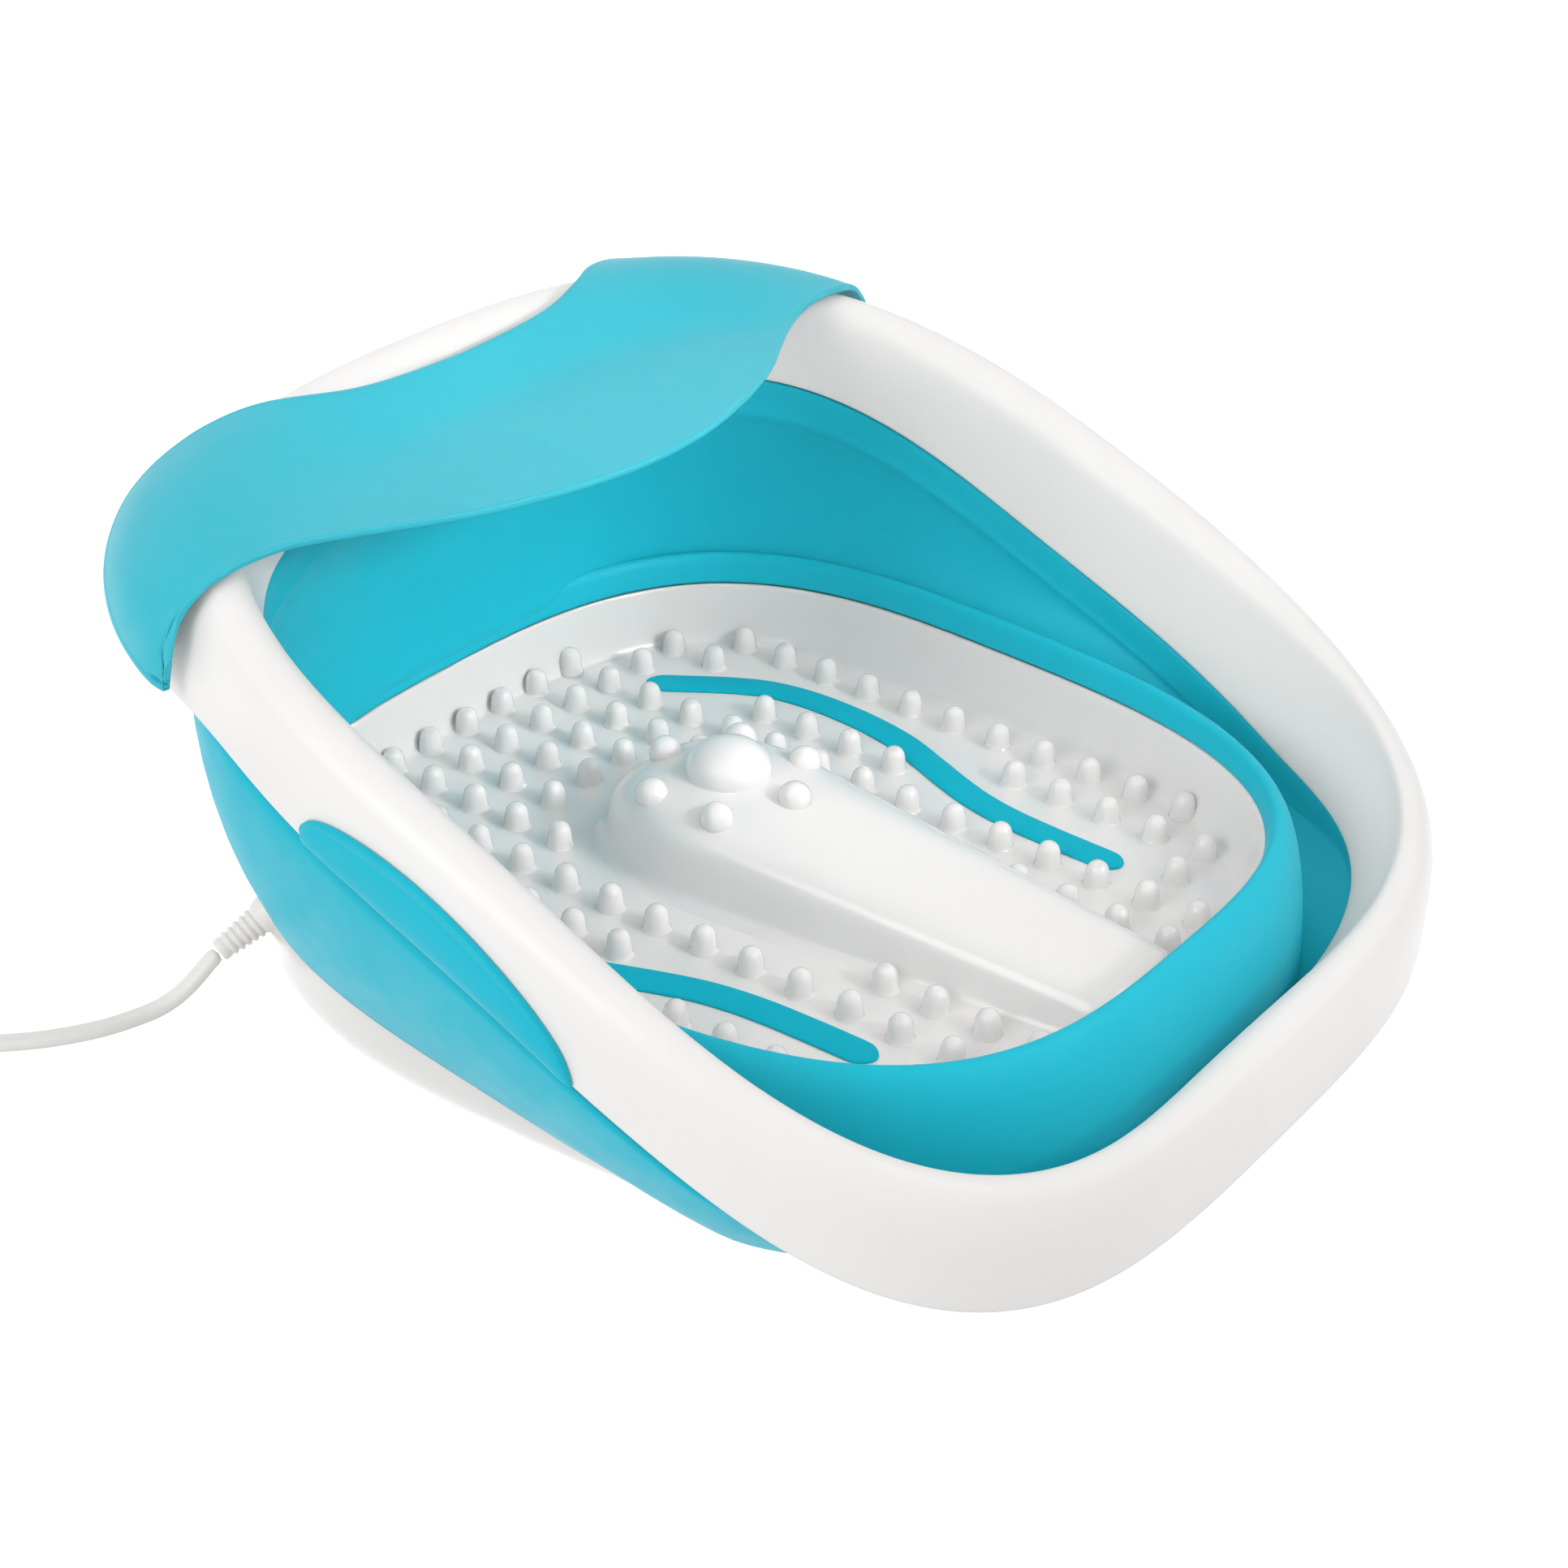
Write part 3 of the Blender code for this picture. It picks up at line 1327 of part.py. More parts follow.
def build_relief(look):
    """The tapered strain relief: a flange inside the housing, a plug in its port and a taper outside."""
    axis = CORD_EXIT_WAY
    inside = RELIEF_BASE_DIAMETER * 0.90
    profile = [
        (CORD_DIAMETER / 2 * 0.9, RELIEF_LENGTH),
        (RELIEF_TIP_DIAMETER / 2, RELIEF_LENGTH),
        (mix(RELIEF_BASE_DIAMETER, RELIEF_TIP_DIAMETER, 0.75) / 2, RELIEF_LENGTH * 0.6),
        (RELIEF_BASE_DIAMETER / 2 * 0.96, RELIEF_LENGTH * 0.25),
        (RELIEF_BASE_DIAMETER / 2, -inside),
        (RELIEF_FLANGE_DIAMETER / 2, -inside),
        (RELIEF_FLANGE_DIAMETER / 2, -inside - RELIEF_FLANGE_THICKNESS),
    ]
    mesh = bmesh.new()
    turn = Vector((0, 0, 1)).rotation_difference(axis).to_matrix().to_4x4()
    place = Matrix.Translation(CORD_EXIT) @ turn
    sides = 14
    rows = []
    for radius, height in profile[1:]:
        rows.append(
            [
                mesh.verts.new(
                    place
                    @ Vector(
                        (radius * math.cos(2 * math.pi * i / sides), radius * math.sin(2 * math.pi * i / sides), height)
                    )
                )
                for i in range(sides)
            ]
        )
    for first, second in zip(rows, rows[1:]):
        for i in range(sides):
            j = (i + 1) % sides
            mesh.faces.new((first[i], first[j], second[j], second[i]))
    mesh.faces.new(rows[0])
    mesh.faces.new(rows[-1])
    return object_from(mesh, "strain_relief", look)


def build_tie(look):
    """A flat band round the coil's bundle, on the side away from the object."""
    centre, way, side = coil_frame()
    low = CORD_ROUTE[-1][2] - CORD_DIAMETER / 2 - TIE_CLEARANCE
    high = CORD_ROUTE[-1][2] + COIL_PITCH + CORD_DIAMETER / 2 + TIE_CLEARANCE
    spread = COIL_PITCH * COIL_TURNS_PER_LAYER / 2 + CORD_DIAMETER / 2 + TIE_CLEARANCE
    near = COIL_MIDDLE_RADIUS - spread
    far = COIL_MIDDLE_RADIUS + spread
    direction = (way + side).normalized()
    square = Vector((-direction.y, direction.x, 0))
    corner = TIE_CLEARANCE * 6
    inner, outer = [], []
    for turn, x, z in (
        (0, far - corner, low + corner),
        (1, far - corner, high - corner),
        (2, near + corner, high - corner),
        (3, near + corner, low + corner),
    ):
        for step in range(4):
            angle = math.pi / 2 * (turn - 1 + step / 3)
            for rows, reach in ((inner, corner), (outer, corner + TIE_THICKNESS)):
                rows.append((x + reach * math.cos(angle), z + reach * math.sin(angle)))
    mesh = bmesh.new()
    loops = []
    for points, along in ((inner, -0.5), (outer, -0.5), (outer, 0.5), (inner, 0.5)):
        loop = []
        for reach, height in points:
            spot = centre + direction * reach + square * TIE_WIDTH * along
            loop.append(mesh.verts.new((spot.x, spot.y, height)))
        loops.append(loop)
    for first, second in zip(loops, loops[1:] + loops[:1]):
        for i in range(len(first)):
            j = (i + 1) % len(first)
            mesh.faces.new((first[i], first[j], second[j], second[i]))
    return object_from(mesh, "cord_tie", look)


def build_plug(end, leave, look_body, look_blade):
    """A flat two-blade plug at the end of the lead-out."""
    turn = Matrix.Rotation(math.atan2(leave.y, leave.x), 4, "Z")
    start = end + leave * GAP
    body = box("plug_body", (PLUG_LENGTH, PLUG_WIDTH, PLUG_THICKNESS), Vector((0, 0, 0)), look_body)
    body.matrix_world = Matrix.Translation(start + leave * PLUG_LENGTH / 2) @ turn
    edge = body.modifiers.new("rounded edges", "BEVEL")
    edge.width = PLUG_THICKNESS / 5
    edge.segments = 2
    across = Vector((-leave.y, leave.x, 0))
    for number, side in ((1, 1), (2, -1)):
        centre = start + leave * (PLUG_LENGTH + GAP + BLADE_LENGTH / 2) + across * side * BLADE_SPACING / 2
        blade = box(
            f"plug_blade_{number}", (BLADE_LENGTH, BLADE_THICKNESS, BLADE_WIDTH), Vector((0, 0, 0)), look_blade
        )
        blade.matrix_world = Matrix.Translation(centre) @ turn


def build_cord(look_relief, look_cord, look_tie, look_blade):
    build_relief(look_relief)
    start = cord_start()
    route = [start + CORD_EXIT_WAY * CORD_DIAMETER / 2] + [Vector(point) for point in CORD_ROUTE]
    points, length = smooth_route(route, CORD_DIAMETER * 1.2)
    points.insert(0, start)
    tube("cord", points, CORD_DIAMETER, look_cord, 2)
    coil, leave = coil_points()
    wound = sum((second - first).length for first, second in zip(coil, coil[1:]))
    tube("cord_coil", coil, CORD_DIAMETER, look_cord, 1)
    print(f"cord: free stretch {length:.3f} m, coil {wound:.3f} m, least gap {least_gap(coil, CORD_DIAMETER) * 1000:.2f} mm")
    build_tie(look_tie)
    build_plug(coil[-1], leave, look_cord, look_blade)


def main():
    white = material("white gloss plastic", "white", 0.25)
    white_inner = material("white housing plastic", "white", 0.45)
    soft = material("turquoise soft wall", "turquoise", 0.42)
    guard = material("turquoise guard plastic", "turquoise", 0.30)
    rubber = material("grey rubber", "rubber", 0.70)
    steel = material("plated steel", "steel", 0.30, 1.0)
    aluminium = material("aluminium", "aluminium", 0.40, 1.0)
    board = material("circuit board", "board", 0.50)
    cord = material("white cord jacket", "cord", 0.45)

    build_tray(white)
    build_collar(soft)
    build_shell(white)
    build_cover(white_inner)
    for number, (x, y) in enumerate(screw_places(), 1):
        build_screw(number, x, y, steel)
    foot_places = [(x, y) for y in (FOOT_TOE_Y, FOOT_HEEL_Y) for x in (FOOT_X, -FOOT_X)]
    for number, (x, y) in enumerate(foot_places, 1):
        build_foot(number, x, y, rubber)
    build_strip("strip_left", -1, soft)
    build_strip("strip_right", 1, soft)
    build_heater(aluminium)
    build_motor(steel, white_inner, steel)
    build_controls(board, rubber, white_inner, steel, white)

    build_rim(white)
    build_rim_clamp(white_inner)
    build_grip("grip_left", -1, soft)
    build_grip("grip_right", 1, soft)
    build_folding_wall(soft)
    build_guard(guard)
    build_cord(cord, cord, rubber, steel)

    pivot = bpy.data.objects.new("collapse_pivot", None)
    pivot.location = (0, HINGE_Y, HINGE_HEIGHT)
    PARTS.objects.link(pivot)
    bpy.context.view_layer.update()
    for name in ("rim_shell", "rim_clamp_ring", "grip_left", "grip_right", "splash_guard"):
        child = bpy.data.objects[name]
        child.parent = pivot
        child.matrix_parent_inverse = pivot.matrix_world.inverted()


main()
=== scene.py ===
"""Looks for the collapsible foot spa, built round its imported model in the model's own frame."""

from math import atan2, copysign, cos, exp, pi, radians, sin, sqrt

import bmesh
import bpy
from mathutils import Matrix, Vector


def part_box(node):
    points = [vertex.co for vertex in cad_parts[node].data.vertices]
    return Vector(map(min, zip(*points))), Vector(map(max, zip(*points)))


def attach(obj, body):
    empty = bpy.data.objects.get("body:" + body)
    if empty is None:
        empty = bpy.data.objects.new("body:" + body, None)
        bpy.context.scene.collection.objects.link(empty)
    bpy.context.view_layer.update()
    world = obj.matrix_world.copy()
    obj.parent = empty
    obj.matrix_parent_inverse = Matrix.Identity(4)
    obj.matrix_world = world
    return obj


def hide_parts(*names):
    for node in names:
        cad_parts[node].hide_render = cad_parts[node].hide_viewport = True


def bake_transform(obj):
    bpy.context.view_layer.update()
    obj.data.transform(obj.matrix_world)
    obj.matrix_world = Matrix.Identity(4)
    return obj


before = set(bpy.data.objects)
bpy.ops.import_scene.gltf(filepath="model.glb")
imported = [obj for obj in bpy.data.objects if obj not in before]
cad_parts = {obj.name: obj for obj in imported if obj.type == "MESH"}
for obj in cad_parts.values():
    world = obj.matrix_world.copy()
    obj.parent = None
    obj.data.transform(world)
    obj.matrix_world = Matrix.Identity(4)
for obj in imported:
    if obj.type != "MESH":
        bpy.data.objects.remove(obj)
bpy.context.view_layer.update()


# Camera, floor and light.
# A white studio sweep under two soft boxes on the heel side, a broad low one at the left and a narrow one
# for the toe end, in a pale room. The background is white only to the camera and in reflections.
def colour(code):
    """Linear colour of an sRGB hex value."""
    parts = [int(code[place : place + 2], 16) / 255 for place in (1, 3, 5)]
    linear = [part / 12.92 if part <= 0.04045 else ((part + 0.055) / 1.055) ** 2.4 for part in parts]
    return (*linear, 1.0)


def add_node(tree, kind, settings=None, values=None, links=None):
    """Adds one node with its own settings, the values of its sockets and what feeds them."""
    node = tree.nodes.new(f"ShaderNode{kind}")
    for key, value in (settings or {}).items():
        setattr(node, key, value)
    for key, value in (values or {}).items():
        node.inputs[key].default_value = value
    for key, source in (links or {}).items():
        tree.links.new(source, node.inputs[key])
    return node


def any_ray(tree, *kinds):
    """A socket that is one for rays of the kinds named."""
    path = add_node(tree, "LightPath")
    found = path.outputs[kinds[0]]
    for kind in kinds[1:]:
        links = {0: found, 1: path.outputs[kind]}
        found = add_node(tree, "Math", {"operation": "MAXIMUM"}, links=links).outputs[0]
    return found


def look_back(azimuth, elevation, roll):
    """A turn for what looks at the object from an azimuth and an elevation, in degrees."""
    a, e = radians(azimuth), radians(elevation)
    back = Vector((sin(a) * cos(e), -cos(a) * cos(e), sin(e)))
    turn = back.to_track_quat("Z", "Y").to_matrix() @ Matrix.Rotation(radians(roll), 3, "Z")
    return turn.to_4x4()


def area_lamp(name, azimuth, elevation, distance, side, power, tint, aim=(0, 0, 0.06), spread=180):
    """A round soft box that looks at a place, in degrees, metres and watts."""
    lamp = bpy.data.lights.new(name, "AREA")
    lamp.shape = "DISK"
    lamp.size = side
    lamp.spread = radians(spread)
    lamp.energy = power
    lamp.color = colour(tint)[:3]
    turn = look_back(azimuth, elevation, 0)
    holder = bpy.data.objects.new(name, lamp)
    bpy.context.scene.collection.objects.link(holder)
    holder.matrix_world = Matrix.Translation(Vector(aim) + turn.col[2].to_3d() * distance) @ turn


camera_data = bpy.data.cameras.new("camera")
camera_data.lens = 66.3
camera_data.sensor_width = 36
camera_data.clip_start = 0.05
camera = bpy.data.objects.new("camera", camera_data)
bpy.context.scene.collection.objects.link(camera)
camera.matrix_world = Matrix.Translation((-0.7198, -0.5158, 0.6117)) @ look_back(-53.637, 30.599, 1.656)
bpy.context.scene.camera = camera
bpy.context.scene.view_settings.view_transform = "Standard"

area_lamp("soft box over the heel", 40, 50, 2.6, 1.0, 7.0, "#FFFDFA")
area_lamp("low soft box in front of the heel", -14, 30, 2.8, 1.4, 1.2, "#FFFDFA")
area_lamp("broad low box at the left", -98, 30, 2.4, 1.6, 16.5, "#FFFEFC")
area_lamp("narrow box for the toe end", 4, 29, 1.1, 0.25, 0.125, "#FFFEFC", aim=(0.0, 0.13, 0.10), spread=22)

world = bpy.data.worlds.new("pale room")
bpy.context.scene.world = world
world.use_nodes = True
tree = world.node_tree
tree.nodes.clear()
seen = any_ray(tree, "Is Camera Ray", "Is Transmission Ray", "Is Glossy Ray")
room = add_node(tree, "Background", values={"Color": colour("#FFFDFB"), "Strength": 0.76})
white = add_node(tree, "Background", values={"Color": colour("#FFFFFF"), "Strength": 1.0})
both = add_node(tree, "MixShader", links={0: seen, 1: room.outputs[0], 2: white.outputs[0]})
add_node(tree, "OutputWorld", links={"Surface": both.outputs[0]})

bpy.ops.mesh.primitive_plane_add(size=7.0, location=(0, 0, 0))
floor = bpy.context.object
floor.name = "studio_floor"
sweep = bpy.data.materials.new("white studio paper")
sweep.use_nodes = True
tree = sweep.node_tree
tree.nodes.clear()
paper = add_node(tree, "BsdfDiffuse", values={"Color": colour("#E0E0E0")})
glow = add_node(tree, "Emission", values={"Color": colour("#FFFFFF"), "Strength": 0.90})
lit = add_node(tree, "AddShader", links={0: paper.outputs[0], 1: glow.outputs[0]})
seen = any_ray(tree, "Is Camera Ray", "Is Glossy Ray")
both = add_node(tree, "MixShader", links={0: seen, 1: paper.outputs[0], 2: lit.outputs[0]})
add_node(tree, "OutputMaterial", links={"Surface": both.outputs[0]})
floor.data.materials.append(sweep)


# Mains lead.
# A white flat twin lead of soft vinyl, 7.0 mm across, with a groove along both faces. It leaves the toe
# end, lies on the floor, and its spare length is wound in a round coil with the plug beside it.
def moulded(
    name, base, shade, light, roughness, spread, grain, relief,
    coat=0.0, edge_highlight=0.35, ior=1.53, metal=0.0, thrown=None,
):
    """A plastic, rubber or metal: slow changes of tone, a fine texture and sharp edges paler as a painted
    highlight.

    Roughness wanders by the spread. The texture's grain and relief are in metres. A thrown colour is what
    the surface sends on to its neighbours, paler than what the camera sees, as in a studio picture whose
    whites are kept neutral."""
    look = bpy.data.materials.new(name)
    look.use_nodes = True
    tree = look.node_tree
    shader = tree.nodes["Principled BSDF"]
    shader.inputs["IOR"].default_value = ior
    shader.inputs["Metallic"].default_value = metal
    shader.inputs["Coat Weight"].default_value = coat
    shader.inputs["Coat Roughness"].default_value = 0.12
    place = add_node(tree, "TexCoord").outputs["Object"]

    def noise(scale, detail, rough):
        values = {"Scale": scale, "Detail": detail, "Roughness": rough}
        return add_node(tree, "TexNoise", values=values, links={"Vector": place}).outputs["Fac"]

    def mapped(source, low, high, to_low, to_high):
        values = {"From Min": low, "From Max": high, "To Min": to_low, "To Max": to_high}
        return add_node(tree, "MapRange", values=values, links={"Value": source}).outputs[0]

    def mixed(values, links):
        return add_node(tree, "Mix", {"data_type": "RGBA"}, values, links).outputs[2]

    tone = mixed({6: colour(base), 7: colour(shade)}, {0: noise(22.0, 3.0, 0.45)})
    pointed = add_node(tree, "NewGeometry").outputs["Pointiness"]
    # Painted highlight: sharp edges, found by pointiness, are mixed towards the light colour.
    seen = mixed({7: colour(light)}, {0: mapped(pointed, 0.57, 0.72, 0.0, edge_highlight), 6: tone})
    if thrown:
        seen = mixed({7: colour(thrown)}, {0: any_ray(tree, "Is Diffuse Ray"), 6: seen})
    tree.links.new(seen, shader.inputs["Base Color"])
    smeared = mapped(noise(55.0, 4.0, 0.6), 0.3, 0.7, roughness - spread, roughness + spread)
    tree.links.new(smeared, shader.inputs["Roughness"])
    depth, texture = {"Strength": 0.5, "Distance": relief}, noise(1.0 / grain, 2.0, 0.5)
    bump = add_node(tree, "Bump", values=depth, links={"Height": texture})
    tree.links.new(bump.outputs[0], shader.inputs["Normal"])
    return look


def finished(mesh, name, look, levels=0):
    """Turns a bmesh into a smooth piece with its faces outwards and its subdivision applied."""
    bmesh.ops.remove_doubles(mesh, verts=mesh.verts, dist=0.000001)
    bmesh.ops.recalc_face_normals(mesh, faces=mesh.faces)
    data = bpy.data.meshes.new(name)
    mesh.to_mesh(data)
    mesh.free()
    piece = bpy.data.objects.new(name, data)
    bpy.context.scene.collection.objects.link(piece)
    bpy.ops.object.select_all(action="DESELECT")
    bpy.context.view_layer.objects.active = piece
    piece.select_set(True)
    if levels:
        smooth = piece.modifiers.new("smooth", "SUBSURF")
        smooth.levels = smooth.render_levels = levels
        bpy.ops.object.modifier_apply(modifier="smooth")
    bpy.ops.object.shade_smooth()
    data.materials.append(look)
    return piece


def skin(name, rings, look, levels=0, closed=True):
    """A skin over rings of as many points each, closed on itself or capped at both ends."""
    mesh = bmesh.new()
    rows = [[mesh.verts.new(point) for point in ring] for ring in rings]
    for first, second in zip(rows, rows[1:] + rows[:1] if closed else rows[1:]):
        for i in range(len(first)):
            j = (i + 1) % len(first)
            mesh.faces.new((first[i], first[j], second[j], second[i]))
    if not closed:
        mesh.faces.new(rows[0])
        mesh.faces.new(rows[-1])
    return finished(mesh, name, look, levels)


def four_around(points, i):
    """The points before, at, after and beyond a place in a list, held at its ends."""
    return [points[min(max(i + k, 0), len(points) - 1)] for k in (-1, 0, 1, 2)]


def on_curve(a, b, c, d, t):
    """A place between b and c on the smooth curve through four neighbours."""
    return (b * 2 + (c - a) * t + (a * 2 - b * 5 + c * 4 - d) * t**2 + (b * 3 - a - c * 3 + d) * t**3) / 2


def way_along(points, i):
    """The way a line runs at one of its points."""
    before, _, after, _ = four_around(points, i)
    return (after - before).normalized()


def spline_through(points, spacing):
    """Evenly spaced points of a smooth curve through a route's own points."""
    fine = []
    for i in range(len(points) - 1):
        fine += [on_curve(*four_around(points, i), step / 20) for step in range(20)]
    fine.append(points[-1])
    total = sum((second - first).length for first, second in zip(fine, fine[1:]))
    count = max(2, round(total / spacing))
    even, walked = [fine[0]], 0.0
    for first, second in zip(fine, fine[1:]):
        run = (second - first).length
        while walked + run >= total / count * len(even) and len(even) < count:
            even.append(first.lerp(second, (total / count * len(even) - walked) / run))
        walked += run
    even.append(fine[-1])
    return even


def smooth_step(value):
    value = min(1.0, max(0.0, value))
    return value * value * (3 - 2 * value)


def mix(a, b, share):
    return a + (b - a) * share


def signed_power(value, power):
    return copysign(abs(value) ** power, value)


cord_width = 0.0070
cord_thickness = 0.0056
cord_exit = Vector((-0.1229, 0.1545, 0.0320))
cord_way = Vector((-0.80, 0.35, -0.48)).normalized()
cord_gap = 0.0003
relief_length = 0.0230
cord_first = cord_exit + cord_way * (relief_length + cord_gap)
cord_route = (
    (-0.1489, 0.1658, 0.0141), (-0.1561, 0.1689, 0.0077), (-0.1640, 0.1718, 0.0045),
    (-0.1720, 0.1745, 0.0039), (-0.1848, 0.1790, 0.0039), (-0.2004, 0.1882, 0.0041),
    (-0.2142, 0.1990, 0.0048), (-0.2290, 0.2130, 0.0058), (-0.2440, 0.2275, 0.0058),
    (-0.2590, 0.2420, 0.0058),
)
coil_turns = 3
turn_steps = 24
coil_radius = 0.0420
coil_pitch = 0.0081
lead_out_length = 0.080
plug_height = 0.00755


def coil_line():
    """Two layers: the lower one spirals in, the upper one spirals out, then the lead goes out to the plug."""
    last, before = Vector(cord_route[-1]), Vector(cord_route[-2])
    way = (last - before).normalized()
    side = Vector((way.y, -way.x, 0))
    outer = coil_radius + coil_pitch * coil_turns / 2
    centre = last + way * (cord_width + cord_gap) + side * outer
    low, high = last.z, last.z + coil_pitch
    points = [last + way * cord_gap, last + way * (cord_gap + cord_width)]
    steps = turn_steps * coil_turns
    for i in range(1, 2 * steps + 1):
        turn = 2 * pi * i / turn_steps
        reach = outer - coil_pitch * min(i, 2 * steps - i) / turn_steps
        spot = centre - side * reach * cos(turn) + way * reach * sin(turn)
        spot.z = mix(low, high, smooth_step((i - steps + 6) / 12))
        points.append(spot)
    leave = points[-1] - points[-2]
    leave.z = 0
    leave.normalize()
    start = points[-1]
    away = Vector((leave.y, -leave.x, 0))
    if (start + away - centre).length < (start - centre).length:
        away = -away
    for i in range(1, 7):
        share = i / 6
        spot = start + leave * lead_out_length * share + away * cord_width * smooth_step(share) / 2
        spot.z = mix(high, plug_height, smooth_step((share - 0.25) / 0.67))
        points.append(spot)
    points.append(points[-1] + leave * cord_width)
    return points, leave


def twin_section(along):
    """The lead's section: a flat oval with a groove down the middle of each broad face."""
    side = along.cross(Vector((0, 0, 1))).normalized()
    up = side.cross(along)
    ring = []
    for step in range(16):
        turn = 2 * pi * (step + 0.5) / 16
        x = cord_width / 2 * signed_power(cos(turn), 0.75)
        rise = 0.74 if abs(cos(turn)) < 0.25 else 1.0
        z = cord_thickness / 2 * signed_power(sin(turn), 0.8) * rise
        ring.append(side * x + up * (z - (cord_width - cord_thickness) / 2))
    return ring


vinyl = moulded("white flexible vinyl", "#F2F1EF", "#E4E3E0", "#FBFBFA", 0.40, 0.06, 0.0009, 0.00003)
route = [cord_first + cord_way * cord_width / 2] + [Vector(point) for point in cord_route]
free_line = [cord_first] + spline_through(route, cord_width * 0.8)
coil, plug_way = coil_line()
lead_line = free_line[:-1] + coil
rings = []
for i, point in enumerate(lead_line):
    rings.append([point + offset for offset in twin_section(way_along(lead_line, i))])
lead = skin("mains_lead", rings, vinyl, 1, closed=False)
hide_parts("cord", "cord_coil")
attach(lead, "base")


# Plug.
# A moulded two-blade plug in the same vinyl as the lead, with a waisted back and three finger ridges on
# each broad face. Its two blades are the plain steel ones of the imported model.
def shape(name, add, **settings):
    """One of Blender's own shapes, alone in the selection, with its place, turn and size in its mesh."""
    bpy.ops.object.select_all(action="DESELECT")
    add(**settings)
    piece = bpy.context.object
    piece.name = name
    bpy.ops.object.transform_apply(location=True, rotation=True, scale=True)
    return piece


plug_low, plug_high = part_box("plug_body")
plug_size = (0.0355, 0.0246, 0.0142)
ridge_spots, ridge_width, ridge_rise = (-0.0105, -0.0065, -0.0025), 0.0011, 0.0005
plug = shape("plug_moulding", bpy.ops.mesh.primitive_cube_add, size=1.0, location=(0, 0, 0), scale=plug_size)
bpy.ops.object.mode_set(mode="EDIT")
bpy.ops.mesh.subdivide(number_cuts=11)
bpy.ops.object.mode_set(mode="OBJECT")
for vertex in plug.data.vertices:
    back = smooth_step((-vertex.co.x - 0.002) / 0.0155)
    ridge = sum(exp(-(((vertex.co.x - spot) / ridge_width) ** 2)) for spot in ridge_spots)
    vertex.co.y *= 1 - 0.42 * back
    vertex.co.z *= 1 - 0.30 * back
    if abs(vertex.co.z) > 0.0045 and abs(vertex.co.y) < 0.0085:
        vertex.co.z += copysign(ridge_rise * ridge, vertex.co.z)
rounding = plug.modifiers.new("rounded", "SUBSURF")
rounding.levels = rounding.render_levels = 1
bpy.ops.object.modifier_apply(modifier="rounded")
bpy.ops.object.shade_smooth()
turn = Matrix.Rotation(atan2(plug_way.y, plug_way.x), 4, "Z")
plug.data.transform(Matrix.Translation((plug_low + plug_high) / 2) @ turn)
plug.data.materials.append(vinyl)
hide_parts("plug_body")
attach(plug, "base")


# Strain relief.
# A tapered sleeve of soft vinyl pressed into the base: a bell at the wall, then five ribs that let it bend,
# and a plain collar where the lead comes out.
def circle(radius, height, count):
    """Points round the Z axis at a height."""
    turns = [2 * pi * i / count for i in range(count)]
    return [Vector((radius * cos(turn), radius * sin(turn), height)) for turn in turns]


def dress(look, *nodes):
    """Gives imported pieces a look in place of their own."""
    for node in nodes:
        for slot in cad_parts[node].material_slots:
            slot.material = look


relief_profile = [(-0.0135, 0.0075), (-0.001, 0.0075), (0.0004, 0.0074), (0.0024, 0.0070), (0.0046, 0.0061)]
rib_pitch = 0.0028
for rib in range(5):
    start = 0.0056 + rib * rib_pitch
    wide = mix(0.0060, 0.0049, rib / 4)
    relief_profile += [
        (start, wide - 0.0011),
        (start + 0.0003, wide - 0.0001),
        (start + 0.0012, wide),
        (start + 0.0019, wide - 0.0002),
        (start + 0.0022, wide - 0.0012),
    ]
relief_profile += [(0.0200, 0.0045), (0.0224, 0.0045), (relief_length, 0.0040)]
turn = Vector((0, 0, 1)).rotation_difference(cord_way).to_matrix()
rings = [[cord_exit + turn @ spot for spot in circle(radius, up, 24)] for up, radius in relief_profile]
relief = skin("relief_sleeve", rings, vinyl, 1, closed=False)
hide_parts("strain_relief")
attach(relief, "base")

strap = moulded("grey hook and loop strap", "#8D9092", "#7F8284", "#9EA1A3", 0.85, 0.05, 0.0007, 0.00008)
dress(strap, "cord_tie")


# Base housing.
# The white lower shell of glossy ABS, moulded with a round lower corner. The turquoise skirt above laps
# over it, and its upper edge falls from the toe end to the heel.
def basin_line(angle):
    """The upper edge of the basin's white wall, seen from above, from the toe (0) by +X to the heel."""
    toe = cos(angle) >= 0
    power = 2 / (2.9 if toe else 3.2)
    along = (0.155 if toe else 0.170) * signed_power(cos(angle), power)
    x = 0.1475 * signed_power(sin(angle), power) * (1 + along / 2.6)
    return Vector((x, 0.0220 + along, 0))


def outward(line, angle):
    """Unit vector square to a line and away from its inside."""
    along = line(angle + 0.008) - line(angle - 0.008)
    return Vector((-along.y, along.x, 0)).normalized()


def ring_of(line, angle, section):
    """A section of offsets and heights, set up square to a line."""
    base, away = line(angle), outward(line, angle)
    return [base + away * offset + Vector((0, 0, height)) for offset, height in section]


def stations(count):
    """Angles round the basin, half a step off its axes."""
    return [2 * pi * (i + 0.5) / count for i in range(count)]


def seam_height(y):
    """Where the turquoise skirt ends on the white base, outside."""
    share = min(1.0, max(0.0, (y + 0.075) / 0.205))
    return mix(0.0140, 0.0520, share**0.8)


basin_edge = 0.0745
shell_bottom = 0.0040
shell_corner = 0.030
skirt_reach = 0.0085


def shell_offset(height):
    """How far the base's outside stands out from the basin's edge, with its round lower corner."""
    up = (shell_bottom + shell_corner - height) / shell_corner
    return skirt_reach if up <= 0 else skirt_reach - shell_corner * (1 - sqrt(max(0.0, 1 - up * up)))


